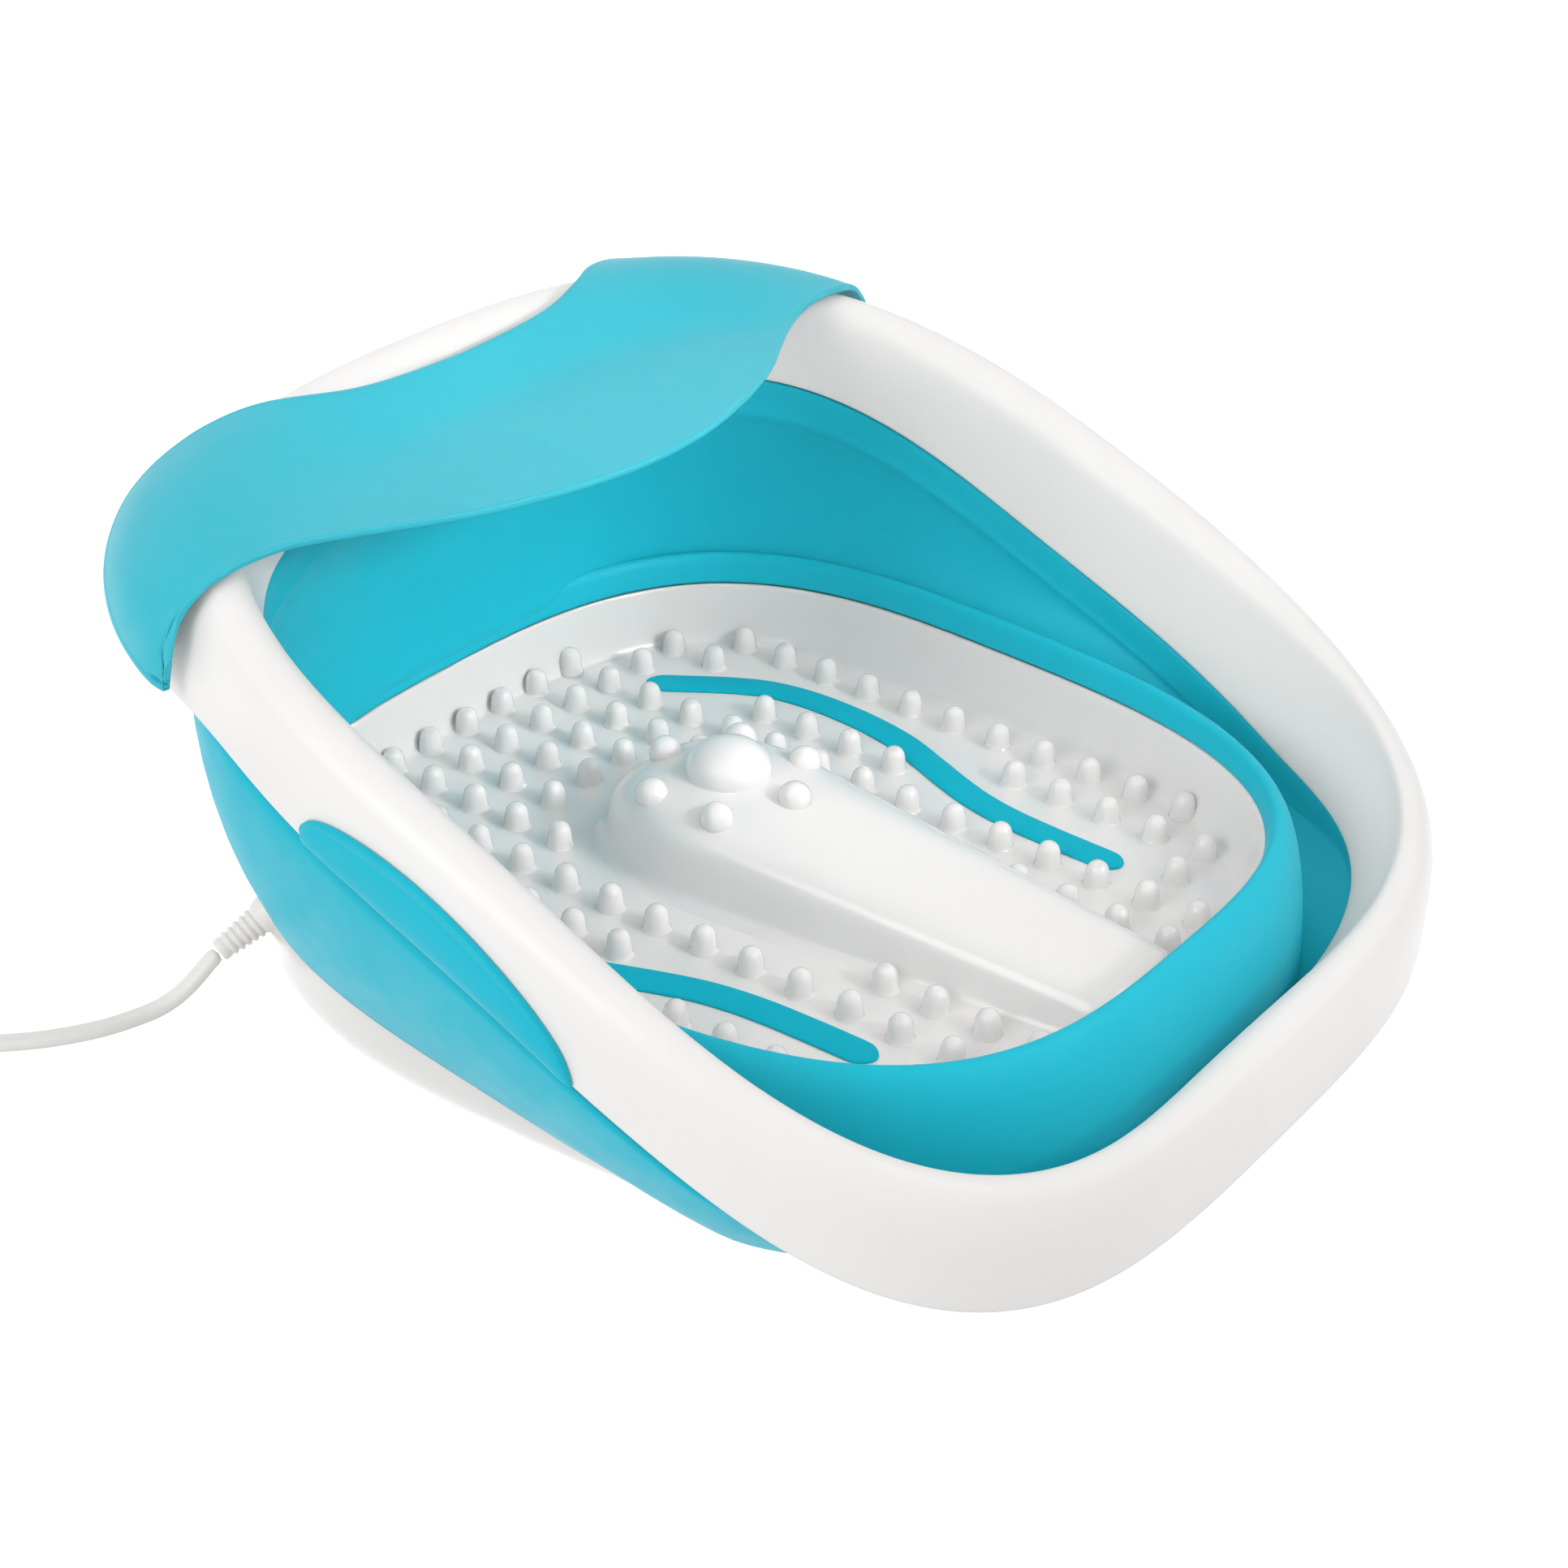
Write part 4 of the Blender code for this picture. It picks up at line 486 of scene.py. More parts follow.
abs_white = moulded(
    "glossy white ABS", "#EAEAEA", "#E4E4E4", "#F4F4F4", 0.20, 0.04, 0.0030, 0.000004, coat=0.35, edge_highlight=0.0
)
# A darker copy of the basin's glossy white ABS: painted shade on the low housing.
housing_white_in_shade = moulded(
    "glossy white ABS of the housing, darkened as painted shade", "#E2E2E2", "#DCDCDC", "#ECECEC",
    0.22, 0.04, 0.0030, 0.000004, coat=0.3, edge_highlight=0.0,
)
shell_tuck = 0.0028
shell_thickness = 0.0048
rings = []
for angle in stations(96):
    seam = seam_height(basin_line(angle).y) - 0.0003
    section = [(skirt_reach - shell_tuck, basin_edge - 0.002)]
    section += [(shell_offset(seam) - shell_tuck, seam + 0.004), (shell_offset(seam) - 0.0004, seam + 0.0002)]
    section.append((shell_offset(seam - 0.0006), seam - 0.0006))
    for share in (0.86, 0.70, 0.52, 0.36, 0.22, 0.10, 0.03, 0.0):
        height = shell_bottom + (min(seam, shell_bottom + shell_corner) - shell_bottom) * share
        section.append((shell_offset(height), height))
    foot = shell_offset(shell_bottom)
    for inset, up in ((0.0010, 0), (0.0096, 0), (0.0100, 0.0004), (0.0100, 0.002), (0.001, 0.0026)):
        section.append((foot - inset, shell_bottom + up))
    for share in (0.10, 0.35, 1.0):
        height = shell_bottom + shell_corner * share
        section.append((shell_offset(height) - shell_thickness, height + 0.002))
    section.append((skirt_reach - shell_thickness, basin_edge - 0.002))
    rings.append(ring_of(basin_line, angle, section))
shell = skin("base_housing", rings, housing_white_in_shade, 1)
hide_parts("base_shell")
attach(shell, "base")


# Bottom cover, its screws and its feet.
# A flat plate of plain white ABS inside the base, held by four cross-head screws of plated steel, on four
# grey rubber feet with a rounded lower edge.
def select_underside(piece):
    """Goes to edit mode with only the faces selected that look straight down."""
    bpy.ops.object.mode_set(mode="EDIT")
    bpy.ops.mesh.select_all(action="DESELECT")
    edit = bmesh.from_edit_mesh(piece.data)
    for face in edit.faces:
        face.select = face.normal.z < -0.9
    bmesh.update_edit_mesh(piece.data)


abs_plain = moulded("plain white ABS", "#EDEDEB", "#E4E4E2", "#F7F7F6", 0.50, 0.06, 0.0011, 0.00004)
zinc = moulded(
    "zinc-plated steel", "#C9CCCE", "#BFC2C6", "#DDDFE0", 0.30, 0.06, 0.0006, 0.00001, ior=1.5, metal=1.0
)
rubber = moulded("grey rubber", "#77797A", "#6C6E70", "#8B8D8E", 0.78, 0.07, 0.0008, 0.00005)
dress(abs_plain, "bottom_cover")

foot_radius, foot_edge = 0.0089, 0.0011
for number in range(1, 5):
    low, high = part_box(f"foot_{number}")
    middle = (low + high) / 2
    foot = shape(
        f"rubber_foot_{number}", bpy.ops.mesh.primitive_cylinder_add,
        vertices=48, radius=foot_radius, depth=high.z, location=(middle.x, middle.y, high.z / 2),
    )
    select_underside(foot)
    bpy.ops.mesh.bevel(offset=foot_edge, segments=4, affect="EDGES")
    bpy.ops.object.mode_set(mode="OBJECT")
    bpy.ops.object.shade_smooth_by_angle(angle=radians(35))
    foot.data.materials.append(rubber)
    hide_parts(f"foot_{number}")
    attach(foot, "base")

head_radius, head_height, head_edge = 0.00345, 0.0016, 0.0005
shank_radius, shank_length, shank_overlap = 0.0017, 0.012, 0.0002
recess_size = (0.0040, 0.0008, 0.0016)
for number in range(1, 5):
    low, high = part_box(f"cover_screw_{number}")
    middle = (low + high) / 2
    screw = shape(
        f"screw_{number}", bpy.ops.mesh.primitive_cylinder_add,
        vertices=32, radius=head_radius, depth=head_height,
        location=(middle.x, middle.y, low.z + head_height / 2),
    )
    rounding = screw.modifiers.new("rounded head", "BEVEL")
    rounding.width = head_edge
    rounding.segments = 3
    bpy.ops.object.modifier_apply(modifier="rounded head")
    for turned in (0, pi / 2):
        blade = shape(
            "recess_blade", bpy.ops.mesh.primitive_cube_add,
            size=1.0, location=(middle.x, middle.y, low.z), rotation=(0, 0, turned), scale=recess_size,
        )
        bpy.context.view_layer.objects.active = screw
        recess = screw.modifiers.new("cross recess", "BOOLEAN")
        recess.operation = "DIFFERENCE"
        recess.object = blade
        bpy.ops.object.modifier_apply(modifier="cross recess")
        bpy.data.objects.remove(blade, do_unlink=True)
    up = low.z + head_height - shank_overlap + shank_length / 2
    shape(
        "screw_shank", bpy.ops.mesh.primitive_cylinder_add,
        vertices=16, radius=shank_radius, depth=shank_length, location=(middle.x, middle.y, up),
    )
    screw.select_set(True)
    bpy.context.view_layer.objects.active = screw
    bpy.ops.object.join()
    bpy.ops.object.shade_smooth_by_angle(angle=radians(35))
    screw.data.materials.append(zinc)
    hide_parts(f"cover_screw_{number}")
    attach(screw, "base")


# Basin.
# White glossy ABS moulded in one piece: a flat floor, a wall with a wide round foot, the middle ridge, the
# massage pegs and six small domes round the toe button.
def fillet_reach(angle):
    """How far in from the basin's edge its round foot ends, less at the toe end than round the heel."""
    return mix(0.0090, 0.0055, smooth_step(cos(angle) * 2 - 0.2))


floor_height = 0.0492
tray_thickness = 0.0025
# Inside from the floor up, and outside from the edge down: shares of the foot's reach and the wall's rise
wall_inside = (
    (0.80, 0.025), (0.58, 0.10), (0.42, 0.21), (0.31, 0.34), (0.21, 0.51), (0.14, 0.68), (0.06, 0.86),
)
wall_outside = (
    (-0.02, 0.90), (0.14, 0.62), (0.31, 0.26), (0.58, 0.0), (0.9, -0.09), (1.3, -0.10), (2.05, -0.10),
)
rise = basin_edge - floor_height
mesh = bmesh.new()
rows = []
for angle in stations(120):
    reach = fillet_reach(angle)
    section = [(-0.030, floor_height), (-0.0185, floor_height), (-reach, floor_height + 0.00005)]
    section += [(-reach * inset, floor_height + rise * up) for inset, up in wall_inside]
    section.append((-0.0003, floor_height + rise * 0.975))
    section += [(0.0004, basin_edge), (0.0020, basin_edge)]
    section += [(tray_thickness - reach * inset, floor_height + rise * up) for inset, up in wall_outside]
    rows.append([mesh.verts.new(point) for point in ring_of(basin_line, angle, section)])
for first, second in zip(rows, rows[1:] + rows[:1]):
    for i in range(len(first) - 1):
        mesh.faces.new((first[i], first[i + 1], second[i + 1], second[i]))
mesh.faces.new([row[0] for row in rows])
mesh.faces.new([row[-1] for row in rows])
tray = finished(mesh, "basin_moulding", abs_white, 1)
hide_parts("basin_tray")
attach(tray, "base")

peg_first_y = 0.1695
peg_pitch = 0.021
peg_pitch_across = 0.0206
peg_sides = 16
peg_tip_height = 0.00975
peg_lift_limit = 0.0060
# Radius and height, from below the floor up
peg_profile = (
    (0.0058, -0.0003), (0.0052, 0.0002), (0.0049, 0.0009), (0.0047, 0.0024), (0.0045, 0.0044),
    (0.0043, 0.0058), (0.0039, 0.0072), (0.0032, 0.0084), (0.0022, 0.0092), (0.0011, 0.0096),
)
# First and last row of each run of pegs, in each column counted from the middle
peg_runs = {
    0: ((0, 3),),
    1: ((0, 3),),
    2: ((0, 4), (11, 14)),
    3: ((0, 14),),
    4: ((1, 1), (4, 7), (13, 13)),
    5: ((1, 2), (9, 13)),
    6: ((2, 12),),
}
peg_places = [
    (side * column * peg_pitch_across, peg_first_y - row * peg_pitch)
    for column, runs in peg_runs.items()
    for first_row, last_row in runs
    for row in range(first_row, last_row + 1)
    for side in ((1, -1) if column else (1,))
]


def wall_rise(x, y):
    """How high the basin's round foot stands above the floor at a place near its wall."""
    place = Vector((x, y, 0))
    nearest, angle = min(((basin_line(a) - place).length, a) for a in (pi * i / 180 for i in range(360)))
    share = nearest / fillet_reach(angle)
    course = ((0.14, 0.68), (0.31, 0.34), (0.58, 0.10), (0.80, 0.025), (1.0, 0.0))
    for (a, up_a), (b, up_b) in zip(course, course[1:]):
        if share <= b:
            return (basin_edge - floor_height) * mix(up_a, up_b, max(0.0, (share - a) / (b - a)))
    return 0.0


mesh = bmesh.new()
for x, y in peg_places:
    lift = min(peg_lift_limit, wall_rise(x, y))
    levels = []
    for radius, height in peg_profile:
        up = floor_height + height + (lift if height > 0 else 0.0)
        levels.append([mesh.verts.new(spot + Vector((x, y, 0))) for spot in circle(radius, up, peg_sides)])
    tip = mesh.verts.new((x, y, floor_height + peg_tip_height + lift))
    for i in range(peg_sides):
        j = (i + 1) % peg_sides
        for lower, upper in zip(levels, levels[1:]):
            mesh.faces.new((lower[i], lower[j], upper[j], upper[i]))
        mesh.faces.new((levels[-1][i], levels[-1][j], tip))
    mesh.faces.new(levels[0][::-1])
pegs = finished(mesh, "massage_pegs", abs_white)
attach(pegs, "base")

# Ridge between the feet.
# It is part of the basin's moulding: a broad low bridge with a blunt rounded nose, its top falling and its
# sides closing in towards the heel, with a soft fillet where it meets the floor.
ridge_height_toe, ridge_height_heel = 0.0308, 0.0180
ridge_half_toe, ridge_half_heel = 0.0405, 0.0245
ridge_nose_y, ridge_nose_length, ridge_heel_y = 0.0875, 0.054, -0.1435
ridge_full_y = ridge_nose_y - ridge_nose_length


def along_ridge(y, at_toe, at_heel, power):
    """A measure of the ridge: it grows in a line from the heel and runs out in the round nose."""
    if y > ridge_full_y:
        return at_toe * sqrt(max(0.0, 1 - ((y - ridge_full_y) / ridge_nose_length) ** power))
    return mix(at_heel, at_toe, (y - ridge_heel_y) / (ridge_full_y - ridge_heel_y))


def ridge_half_width(y):
    return along_ridge(y, ridge_half_toe, ridge_half_heel, 2)


def ridge_height(y):
    return along_ridge(y, ridge_height_toe, ridge_height_heel, 3)


def ridge_top(x, y):
    """The height of the ridge's surface, as a superellipse."""
    return floor_height + ridge_height(y) * (1 - min(1.0, abs(x / ridge_half_width(y))) ** 3.6) ** (1 / 2)


# The fillet's reach and rise in metres, then the round top in shares of the half width and the height
ridge_fillet = (
    (0.0104, -0.0040), (0.0100, -0.0006), (0.0078, -0.00002), (0.0052, 0.0006), (0.0030, 0.0019),
    (0.0014, 0.0042),
)
ridge_round = (
    (0.996, 0.41), (0.966, 0.55), (0.910, 0.69), (0.825, 0.81), (0.70, 0.90), (0.54, 0.957), (0.30, 0.991),
)
shares = (0.999, 0.994, 0.98, 0.96, 0.93, 0.89, 0.84, 0.77, 0.69, 0.60, 0.50, 0.40, 0.30, 0.20, 0.10, 0.0)
stops = [ridge_full_y + ridge_nose_length * share for share in shares]
stops += [mix(ridge_full_y, ridge_heel_y, share / 12) for share in range(1, 13)]
rings = []
for stop in stops:
    width, height = max(ridge_half_width(stop), 0.001), max(ridge_height(stop), 0.0006)
    spread = min(1.0, width / 0.01)
    line = [(width + out * spread, min(0.4, rise / height) * height) for out, rise in ridge_fillet]
    line += [(share * width, up * height) for share, up in ridge_round] + [(0.0, height)]
    ring = [Vector((x, stop, floor_height + z)) for x, z in line]
    ring += [Vector((-x, stop, floor_height + z)) for x, z in line[-2::-1]]
    rings.append(ring)
ridge = skin("foot_ridge", rings, abs_white, 1, closed=False)
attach(ridge, "base")

button_y = 0.0392
dome_ring, dome_radius, dome_centre_rise = 0.030, 0.0062, 0.0010
for number in range(6):
    turn = pi / 2 + number * pi / 3
    x, y = dome_ring * cos(turn), button_y + dome_ring * sin(turn)
    dome = shape(
        f"small_dome_{number + 1}", bpy.ops.mesh.primitive_uv_sphere_add,
        segments=32, ring_count=18, radius=dome_radius, location=(x, y, ridge_top(x, y) + dome_centre_rise),
    )
    bpy.ops.object.shade_smooth()
    dome.data.materials.append(abs_white)
    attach(dome, "base")

# Toe button.
# A domed button of the same white ABS set into the ridge, pressed with a toe to start the massage. Its
# top is a smooth low dome, and a skirt below it runs down into the ridge.
button_radius, button_rise, button_skirt = 0.0159, 0.0120, 0.0070
button = shape(
    "toe_button_dome", bpy.ops.mesh.primitive_uv_sphere_add,
    segments=64, ring_count=32, radius=button_radius, location=(0, 0, 0),
)
bpy.ops.object.mode_set(mode="EDIT")
bpy.ops.mesh.select_all(action="SELECT")
bpy.ops.mesh.bisect(plane_co=(0, 0, 0), plane_no=(0, 0, 1), clear_inner=True, use_fill=True)
select_underside(button)
bpy.ops.mesh.extrude_region_move(TRANSFORM_OT_translate={"value": (0, 0, -button_skirt)})
bpy.ops.object.mode_set(mode="OBJECT")
for vertex in button.data.vertices:
    if vertex.co.z > 0:
        vertex.co.z *= button_rise / button_radius
    vertex.co += Vector((0, button_y, floor_height + ridge_height_toe))
bpy.ops.object.shade_smooth_by_angle(angle=radians(50))
button.data.materials.append(abs_white)
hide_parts("toe_button")
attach(button, "button")

# Foot strips.
# Two bars of matt turquoise rubber let into the floor, one beside each foot, with round ends and a
# rounded top, following a lazy S from the toe to the heel.
tpe = moulded(
    "satin turquoise thermoplastic rubber", "#12BDD5", "#0CB7D0", "#5ACDDD",
    0.50, 0.05, 0.0012, 0.000010, edge_highlight=0.15, ior=1.32, thrown="#C8DADC",
)
strip_tpe = moulded(
    "matt turquoise thermoplastic rubber", "#10B6CE", "#0BAFC8", "#3CC2D4",
    0.60, 0.05, 0.0012, 0.000010, edge_highlight=0.1, ior=1.18, thrown="#C8DADC",
)
strip_half_width = 0.0066
strip_end_length = 0.0044
strip_outer_x, strip_inward = 0.1053, 0.0280
strip_toe_y, strip_length = 0.1365, 0.2165
# Shares of the strip's length, and of the way inward
strip_course = (
    (0.00, 1.03), (0.05, 0.75), (0.11, 0.42), (0.175, 0.15), (0.25, 0.02), (0.33, 0.00), (0.41, 0.05),
    (0.49, 0.18), (0.57, 0.42), (0.64, 0.64), (0.71, 0.82), (0.79, 0.93), (0.89, 0.98), (1.00, 1.00),
)
# Shares of the half width, and heights above the floor
strip_section = (
    (-1.0, -0.0006), (1.0, -0.0006), (1.0, 0.0007), (0.93, 0.0012),
    (0.5, 0.00145), (-0.5, 0.00145), (-0.93, 0.0012), (-1.0, 0.0007),
)
for name, side in (("strip_left", -1), ("strip_right", 1)):
    course = []
    for along, inward in strip_course:
        x = side * (strip_outer_x - strip_inward * inward)
        course.append(Vector((x, strip_toe_y - strip_length * along, 0)))
    line = spline_through(course, 0.004)
    start = line[0] + (line[0] - line[1]).normalized() * strip_end_length
    line = [start, *line, line[-1] + (line[-1] - line[-2]).normalized() * strip_end_length]
    length = sum((b - a).length for a, b in zip(line, line[1:]))
    rings, walked = [], 0.0
    for i, point in enumerate(line):
        if i:
            walked += (point - line[i - 1]).length
        along = way_along(line, i)
        across = Vector((along.y, -along.x, 0))
        end = min(walked, length - walked)
        half = strip_half_width * sqrt(max(0.05, 1 - max(0.0, 1 - end / strip_half_width) ** 2))
        ring = [across * half * share + Vector((0, 0, floor_height + up)) for share, up in strip_section]
        rings.append([point + offset for offset in ring])
    strip = skin(f"{name}_bar", rings, strip_tpe, 1, closed=False)
    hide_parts(name)
    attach(strip, "base")

# Rim.
# The white carrying rim of satin ABS: a broad band inside, a rounded crest, and a skirt outside that hides
# the upper edge of the folding wall. It stands high over the toes and comes down to the base at the heel.
rim_half_width = 0.187
rim_middle_y, rim_toe_reach, rim_heel_reach = 0.0025, 0.183, 0.188
rim_heel_y = rim_middle_y - rim_heel_reach
rim_heel_height, rim_middle_height, rim_toe_height = 0.053, 0.145, 0.1985
crest_round = 0.012
rim_thickness = 0.0028


def rim_line(angle):
    """The crest's line, seen from above, from the toe (0) by +X to the heel."""
    toe = cos(angle) >= 0
    power = 2 / (2.75 if toe else 3.2)
    along = (rim_toe_reach if toe else rim_heel_reach) * signed_power(cos(angle), power)
    return Vector((rim_half_width * signed_power(sin(angle), power), rim_middle_y + along, 0))


def rim_height(y):
    """How high the middle of the crest's rounding stands: a curve through its heel, middle and toe."""
    first = (rim_middle_height - rim_heel_height) / rim_heel_reach
    second = (rim_toe_height - rim_middle_height) / rim_toe_reach
    bend = (second - first) / (rim_toe_reach + rim_heel_reach)
    return rim_heel_height + first * (y - rim_heel_y) + bend * (y - rim_heel_y) * (y - rim_middle_y)


def heel_share(y):
    """One at the rim's heel, nothing from half way to its middle on."""
    return smooth_step(1 - (y - rim_heel_y) / (rim_heel_reach / 2))


def rim_inner_drop(y):
    """How far the rim's inner edge lies below the middle of the crest's rounding."""
    toe = smooth_step((y - rim_middle_y) / (0.75 * rim_toe_reach))
    return mix(mix(0.0355, 0.025, toe), 0.015, heel_share(y))


def rim_outer_path(angle, crest_degrees):
    """The rim's outside, from its inner lower edge over the crest to the skirt's lower edge."""
    y = rim_line(angle).y
    round_way = sin(2 * min(angle, 2 * pi - angle))
    corner = max(0.0, round_way) if cos(angle) > 0 else 0.0
    heel_corner = max(0.0, -round_way)
    inner_set = mix(0.016, 0.019, heel_share(y)) - 0.0025 * heel_corner**2
    inner_round = crest_round - 0.0088 * heel_corner
    inner_drop = rim_inner_drop(y)
    skirt = 0.0105 + 0.016 * corner**9 + 0.0015 * heel_corner**2
    edge_drop = 0.008 + 0.005 * corner
    skirt_drop = 0.028 + 0.005 * heel_corner**2
    section = [(-inner_set, -inner_drop), (-mix(inner_round, inner_set, 0.9), -inner_drop * 0.80)]
    section += [(-mix(inner_round, inner_set, 0.5), -inner_drop * 0.45)]
    for d in crest_degrees:
        across, up = cos(radians(d)), sin(radians(d))
        section.append(((crest_round if across > 0 else inner_round) * across, crest_round * up))
    shoulder = crest_round * cos(radians(30))
    section.append((mix(shoulder, skirt, 0.35), mix(crest_round / 2, -edge_drop, 0.2)))
    section += [(skirt, -edge_drop), (skirt - 0.0003, -mix(edge_drop, skirt_drop, 0.6))]
    section.append((skirt - 0.0007, -skirt_drop))
    boxier = 0.0200 * max(0.0, -cos(angle)) ** 3 * sin(angle) ** 2
    return [Vector((offset + boxier, rim_height(y) + rise)) for offset, rise in section]


def moved_right(path, distance):
    """A plane path moved to its right-hand side, square to itself."""
    ways = [way_along(path, i) for i in range(len(path))]
    return [point + Vector((way.y, -way.x)) * distance for point, way in zip(path, ways)]


satin_white = moulded(
    "satin white ABS", "#EFEFEF", "#EAEAEA", "#FCFCFC", 0.38, 0.05, 0.0030, 0.000004, edge_highlight=0.0
)
rings = []
for angle in stations(120):
    outer = rim_outer_path(angle, (163, 142, 120, 98, 76, 54))
    inner = moved_right(outer, rim_thickness)
    inner[0] = outer[0] + Vector((rim_thickness, 0))
    inner[-1] = outer[-1] - Vector((rim_thickness, 0))
    # A second point close to each lower edge keeps it crisp
    outer.insert(1, outer[0].lerp(outer[1], 0.10))
    outer.insert(-1, outer[-1].lerp(outer[-2], 0.08))
    rings.append(ring_of(rim_line, angle, outer + inner[::-1]))
rim = skin("rim_moulding", rings, satin_white, 1)
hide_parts("rim_shell")
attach(rim, "rim")

# Clamp ring.
# A ring of plain white ABS behind the rim's inner edge, all the way round, which holds the folding wall's
# upper edge. The rim hides it.
rings = []
for angle in stations(96):
    offset, height = rim_outer_path(angle, (90,))[0]
    near, far, low = offset + 0.0032, offset + 0.0082, height + 0.0002
    section = [(near, low), (far, low), (far, low + 0.0040), (near + 0.0017, low + 0.0040)]
    rings.append(ring_of(rim_line, angle, section))
clamp = skin("rim_clamp", rings, abs_plain)
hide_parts("rim_clamp_ring")
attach(clamp, "rim")


# Collar.
# The lower turquoise wall, moulded over the basin's edge in soft thermoplastic rubber: it rises to a
# rounded crest, rolls over it, flares at the heel and runs down outside the white base to the seam.
def collar_top(y):
    return mix(0.0875, 0.0840, smooth_step(1 - (y + 0.148) / 0.170))


def collar_flare(angle):
    """How much further out the collar's foot stands than its crest, at the heel and its corners."""
    corner = max(0.0, -sin(2 * min(angle, 2 * pi - angle)))
    return (0.0115 - 0.0040 * corner**2) * smooth_step((-0.010 - basin_line(angle).y) / 0.080)


def merged_share(angle):
    """Where the collar's crest runs into the folding wall with no groove: the toe end, but not its right."""
    base = basin_line(angle)
    return smooth_step((0.106 - base.x) / 0.060) * smooth_step((base.y - 0.02) / 0.08)


def groove_height(angle):
    """The height of the groove between the collar and the folding wall."""
    y, rim_y = basin_line(angle).y, rim_line(angle).y
    under_rim = rim_height(rim_y) - rim_inner_drop(rim_y) - mix(0.0214, 0.0144, heel_share(rim_y))
    depth = mix(mix(0.0030, 0.010, smooth_step((0.16 - y) / 0.12)), 0.0085, merged_share(angle))
    return min(collar_top(y) - depth, under_rim)


collar_thickness = 0.0019
crest_set = 0.0040
collar_foot = basin_edge + 0.0003
rings = []
for angle in stations(96):
    y = basin_line(angle).y
    top = collar_top(y)
    rise = top - collar_foot
    inside = ((-0.0004, 0.0), (0.0000, 0.12), (0.0006, 0.45), (0.0013, 0.78), (0.0024, 0.95))
    section = [(offset, collar_foot + rise * share) for offset, share in inside] + [(crest_set, top)]
    low = min(groove_height(angle), collar_foot - 0.010)
    reach = skirt_reach + collar_flare(angle) - crest_set
    for share in (0.14, 0.28, 0.42, 0.56, 0.70, 0.84, 0.94, 1.0):
        turn = radians(90 * share)
        up = top - (top - low - 0.0008) * (1 - cos(turn))
        section.append((crest_set + reach * sin(turn), up))
    section.append((crest_set + reach * 0.9, low - 0.0006))
    seam = seam_height(y)
    heights = [mix(seam, mix(seam, low, 0.9), share) for share in (1, 0.34, 0.10, 0.02, 0)]
    section += [(shell_offset(height), height) for height in heights]
    section += [(shell_offset(height) - collar_thickness, height) for height in heights[::-1]]
    section.append((skirt_reach - collar_thickness, collar_foot))
    rings.append(ring_of(basin_line, angle, section))
collar = skin("collar_moulding", rings, tpe, 1)
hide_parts("collar_wall")
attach(collar, "base")


# Folding wall.
# The upper turquoise wall of the same rubber: inside, a short upright band under the rim's inner edge, a
# crease, and a slope down to the groove round the collar, or over its crest at the toe. Outside it comes out
# from under the rim's skirt, full at the top, and runs in to the seam on the base.
def on_rim(angle, offset, height):
    return rim_line(angle) + outward(rim_line, angle) * offset + Vector((0, 0, height))


rings = []
for angle in stations(96):
    path = rim_outer_path(angle, (160, 125, 90, 60))
    edge_set, edge_height = path[0]
    skirt_set, skirt_height = path[-1]
    y = rim_line(angle).y
    heel = heel_share(y)
    base, away = basin_line(angle), outward(basin_line, angle)

    foot = base + away * (skirt_reach + 0.0028)
    foot.z = seam_height(base.y)
    shoulder_set = mix(min(skirt_set, 0.0105) - 0.0007, -0.010, heel)
    shoulder = on_rim(angle, shoulder_set, mix(skirt_height - 0.0012, rim_height(y) - 0.022, heel))
    outer = [foot, foot.lerp(shoulder, 0.06)]
    for share in (0.25, 0.5, 0.75):
        bulge = 0.006 * 4 * share * (1 - share) * (1 - heel)
        outer.append(foot.lerp(shoulder, share) + away * bulge)
    outer += [foot.lerp(shoulder, 0.94) + away * 0.0012 * (1 - heel), shoulder]

    inner = edge_height - 0.0004
    band = mix(0.0150, 0.0020, heel)
    groove_set = mix(skirt_reach + collar_flare(angle) - 0.0010, -0.0008, merged_share(angle))
    groove = base + away * groove_set
    groove.z = groove_height(angle)
    crease = on_rim(angle, edge_set + 0.0007, inner - band)
    outer.append(on_rim(angle, mix(-0.006, mix(edge_set, -0.010, 0.5), heel), inner))
    for out, down in ((0.0012, 0), (0.0005, 0.0006), (0.0006, band * 0.55), (0.0008, band * 0.86)):
        outer.append(on_rim(angle, edge_set + out, inner - down))
    outer.append(crease + outward(rim_line, angle) * -0.0010 * (1 - heel))
    for share in (0.05, 0.12, 0.35, 0.62, 0.85, 0.96):
        hollow = 0.0050 * 4 * share * (1 - share) * (1 - heel)
        outer.append(crease.lerp(groove, share) + away * hollow)
    outer.append(groove)
    hidden = foot - away * 0.0012
    hidden.z = mix(foot.z, groove.z, 0.5)
    outer.append(hidden)
    rings.append(outer)
wall = skin("folding_wall_moulding", rings, tpe, 1)
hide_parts("folding_wall")
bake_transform(wall)
shares = []
for vertex in wall.data.vertices:
    y = vertex.co.y
    low, high = seam_height(y), rim_height(y) - 0.028
    shares.append(min(1.0, max(0.0, (vertex.co.z - low) / max(0.006, high - low))))


# Grips.
# A half-moon pad of the turquoise rubber on each side of the rim's skirt, moulded on, with a raised lip
# round its curved edge and a fine groove inside the lip.
def angle_at(y):
    """The angle at which the crest's line passes a place along it, found by halving."""
    low, high = 0.0, pi
    for _ in range(40):
        middle = (low + high) / 2
        low, high = (middle, high) if rim_line(middle).y > y else (low, middle)
    return low


def point_up_skirt(path, distance):
    """The point and the outward normal at a distance up the skirt from its lower edge."""
    for first, second in zip(path[::-1], path[-2::-1]):
        run = second - first
        if distance <= run.length:
            way = run.normalized()
            return first + way * distance, Vector((way.y, -way.x))
        distance -= run.length
    return path[0], Vector((1, 0))


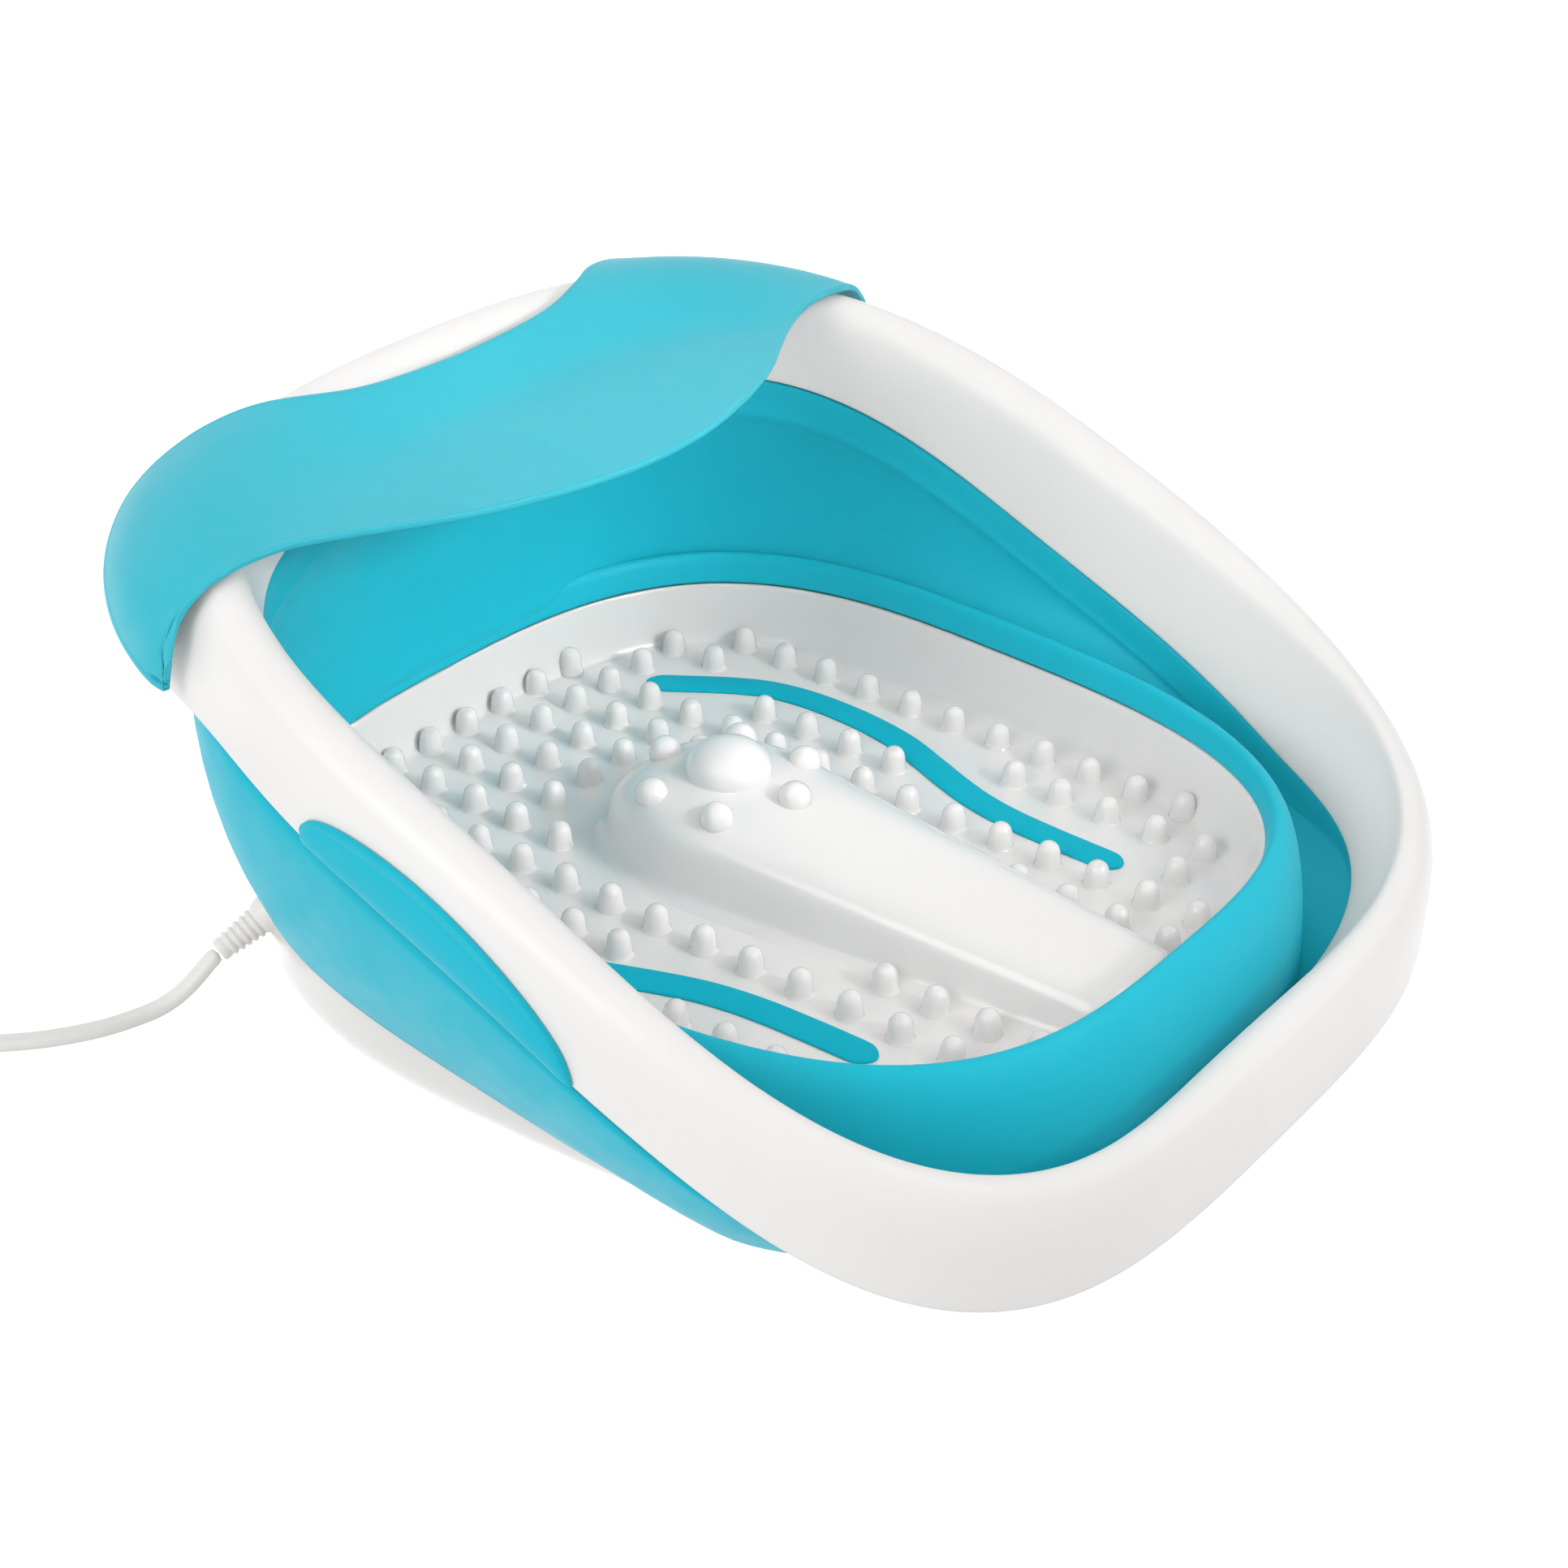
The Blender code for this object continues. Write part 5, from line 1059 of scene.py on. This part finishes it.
grip_steps = 48
grip_toe_y, grip_heel_y = 0.0550, -0.0545
grip_end_rise, grip_rise = 0.0025, 0.024
# Shares of the way up the pad, and its height off the skirt
lip_course = (
    (0.0, 0.0003), (0.15, 0.0024), (0.5, 0.0026), (0.75, 0.0026), (0.84, 0.0019),
    (0.88, 0.0022), (0.95, 0.0028), (0.985, 0.0025), (1.0, 0.0010),
)
for name, side in (("grip_left", -1), ("grip_right", 1)):
    rings = []
    for i in range(grip_steps + 1):
        across = 2 * i / grip_steps - 1
        angle = angle_at(mix(grip_toe_y, grip_heel_y, i / grip_steps))
        rise = mix(grip_end_rise, grip_rise, sqrt(max(0.0, 1 - across * across)))
        path = rim_outer_path(angle, (160, 125, 90, 60))
        edge = min(1.0, 0.35 + (1 - abs(across)) * 12)
        inner, outer = [], []
        for share, height in lip_course:
            spot, normal = point_up_skirt(path, rise * share)
            inner.append(spot + normal * 0.0002)
            outer.append(spot + normal * (0.0003 + height * edge))
        ring = ring_of(rim_line, angle, inner + outer[::-1])
        rings.append([Vector((point.x * side, point.y, point.z)) for point in ring])
    grip = skin(f"{name}_pad", rings, tpe, 1, closed=False)
    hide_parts(name)
    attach(grip, "rim")


# Splash guard.
# A sheet of smooth turquoise plastic 2.2 mm thick, bent over the toe end of the rim and clipped on. Its
# edges are rounded, with a fine raised bead just inside them. The front is left bare.
def along_table(table, share):
    """A point of an edge's table, read at a share of its rows."""
    place = share * (len(table) - 1)
    row = min(int(place), len(table) - 2)
    return [on_curve(*four, place - row) for four in zip(*four_around(table, row))]


guard_tip = Vector((0.208, 0.1315))
guard_outer_y, guard_inner_y = 0.192, 0.0675
guard_thickness = 0.0022
# Each edge from the middle to the tip, with the sheet laid flat: shares of the tip's distance from the
# middle, then shares of the way from the tip's line to the edge's furthest line
guard_outer = (
    (0.000, 0.579), (0.216, 0.610), (0.340, 0.700), (0.466, 0.868), (0.587, 0.967), (0.678, 1.000),
    (0.760, 0.909), (0.832, 0.752), (0.894, 0.554), (0.942, 0.364), (0.976, 0.198), (0.995, 0.083),
    (1.000, 0.000),
)
guard_inner = (
    (0.000, 1.000), (0.106, 0.977), (0.212, 0.906), (0.317, 0.805), (0.418, 0.672), (0.510, 0.508),
    (0.596, 0.367), (0.683, 0.289), (0.760, 0.258), (0.827, 0.250), (0.894, 0.211), (0.957, 0.109),
    (0.990, 0.016),
)
rim_places = [(2 * pi * i / 960, rim_line(2 * pi * i / 960)) for i in range(481)]


def guard_point(x, y):
    """A place on the flat sheet bent over the crest: a round bend, then straight down."""
    place = Vector((x, y, 0))
    angle, crest = min(rim_places, key=lambda found: (found[1] - place).length_squared)
    away = outward(rim_line, angle)
    along = (place - crest).dot(away)
    top = rim_height(crest.y) + 0.0140
    if along <= 0:
        return Vector((x, y, mix(top, min(top, 0.1960), smooth_step(-along / 0.048))))
    share = min(1.0, max(0.0, (crest.y - 0.113) / 0.048))
    bend = mix(0.019, 0.040, share**0.6)
    turn = min(along / bend, radians(85))
    rest = along - turn * bend
    out = bend * sin(turn) + rest * cos(turn)
    down = bend * (1 - cos(turn)) + rest * sin(turn)
    return crest + away * out + Vector((0, 0, top - down))


# Distances in from an edge, and the bead's rise at each
edge_stops = (0.0, 0.0005, 0.0014, 0.0022, 0.0029, 0.0036, 0.0045, 0.0070)
bead = (0.0, 0.0, 0.00022, 0.00028, 0.00008, 0.0, 0.0, 0.0)
columns, rows_between = 96, 12
raised = [*bead, *[0.0] * rows_between, *bead[::-1]]
lower = []
for column in range(columns + 1):
    across = 2 * column / columns - 1
    side = -1 if across < 0 else 1
    outer_x, outer_y = along_table(guard_outer, abs(across))
    inner_x, inner_y = along_table(guard_inner, abs(across))
    outer = Vector((guard_tip.x * outer_x, mix(guard_tip.y, guard_outer_y, outer_y)))
    inner = Vector((guard_tip.x * inner_x, mix(guard_tip.y, guard_inner_y, inner_y)))
    reach = (inner - outer).length
    shares = [min(stop / reach, 0.30 + stop * 5) for stop in edge_stops]
    rest = [mix(shares[-1], 1 - shares[-1], k / (rows_between + 1)) for k in range(1, rows_between + 1)]
    line = []
    for place in shares + rest + [1 - share for share in shares[::-1]]:
        point = guard_point(*outer.lerp(inner, place))
        line.append(Vector((point.x * side, point.y, point.z)))
    lower.append(line)
rings = []
for i, line in enumerate(lower):
    before, after = lower[max(i - 1, 0)], lower[min(i + 1, columns)]
    upper = []
    for j, point in enumerate(line):
        along = line[min(j + 1, len(line) - 1)] - line[max(j - 1, 0)]
        normal = along.cross(after[j] - before[j])
        if normal.length < 1e-12:
            normal = Vector((0, 0, 1))
        normal.normalize()
        if normal.z < 0:
            normal = -normal
        upper.append(point + normal * (guard_thickness + raised[j]))
    rings.append(upper + line[::-1])
# The pale light colour is a painted highlight along the sheet's sharp edges.
guard_plastic = moulded(
    "smooth turquoise plastic", "#30BCD0", "#2AB6CB", "#A6E6EE",
    0.40, 0.04, 0.0012, 0.000006, edge_highlight=0.4, ior=1.42, thrown="#CCDDDF",
)
guard = skin("splash_guard_sheet", rings, guard_plastic, 1, closed=False)
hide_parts("splash_guard")
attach(guard, "guard")

# Inside the base.
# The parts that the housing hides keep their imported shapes: an aluminium heater plate under the floor, a
# small steel motor with a half-round weight in its saddle, and the button's board, switch and spring.
rolled = moulded("rolled aluminium", "#D6D8DA", "#CBCED1", "#E6E8E9", 0.38, 0.07, 0.0005, 0.00001, metal=1.0)
laminate = moulded("green glass-fibre laminate", "#1E5B38", "#1A5233", "#2F7450", 0.45, 0.05, 0.0008, 0.00003)
dress(rolled, "heater_plate")
dress(zinc, "motor_can", "motor_weight", "button_spring", "plug_blade_1", "plug_blade_2")
dress(abs_plain, "motor_saddle", "board_tower")
dress(laminate, "control_board")
dress(rubber, "tact_switch")
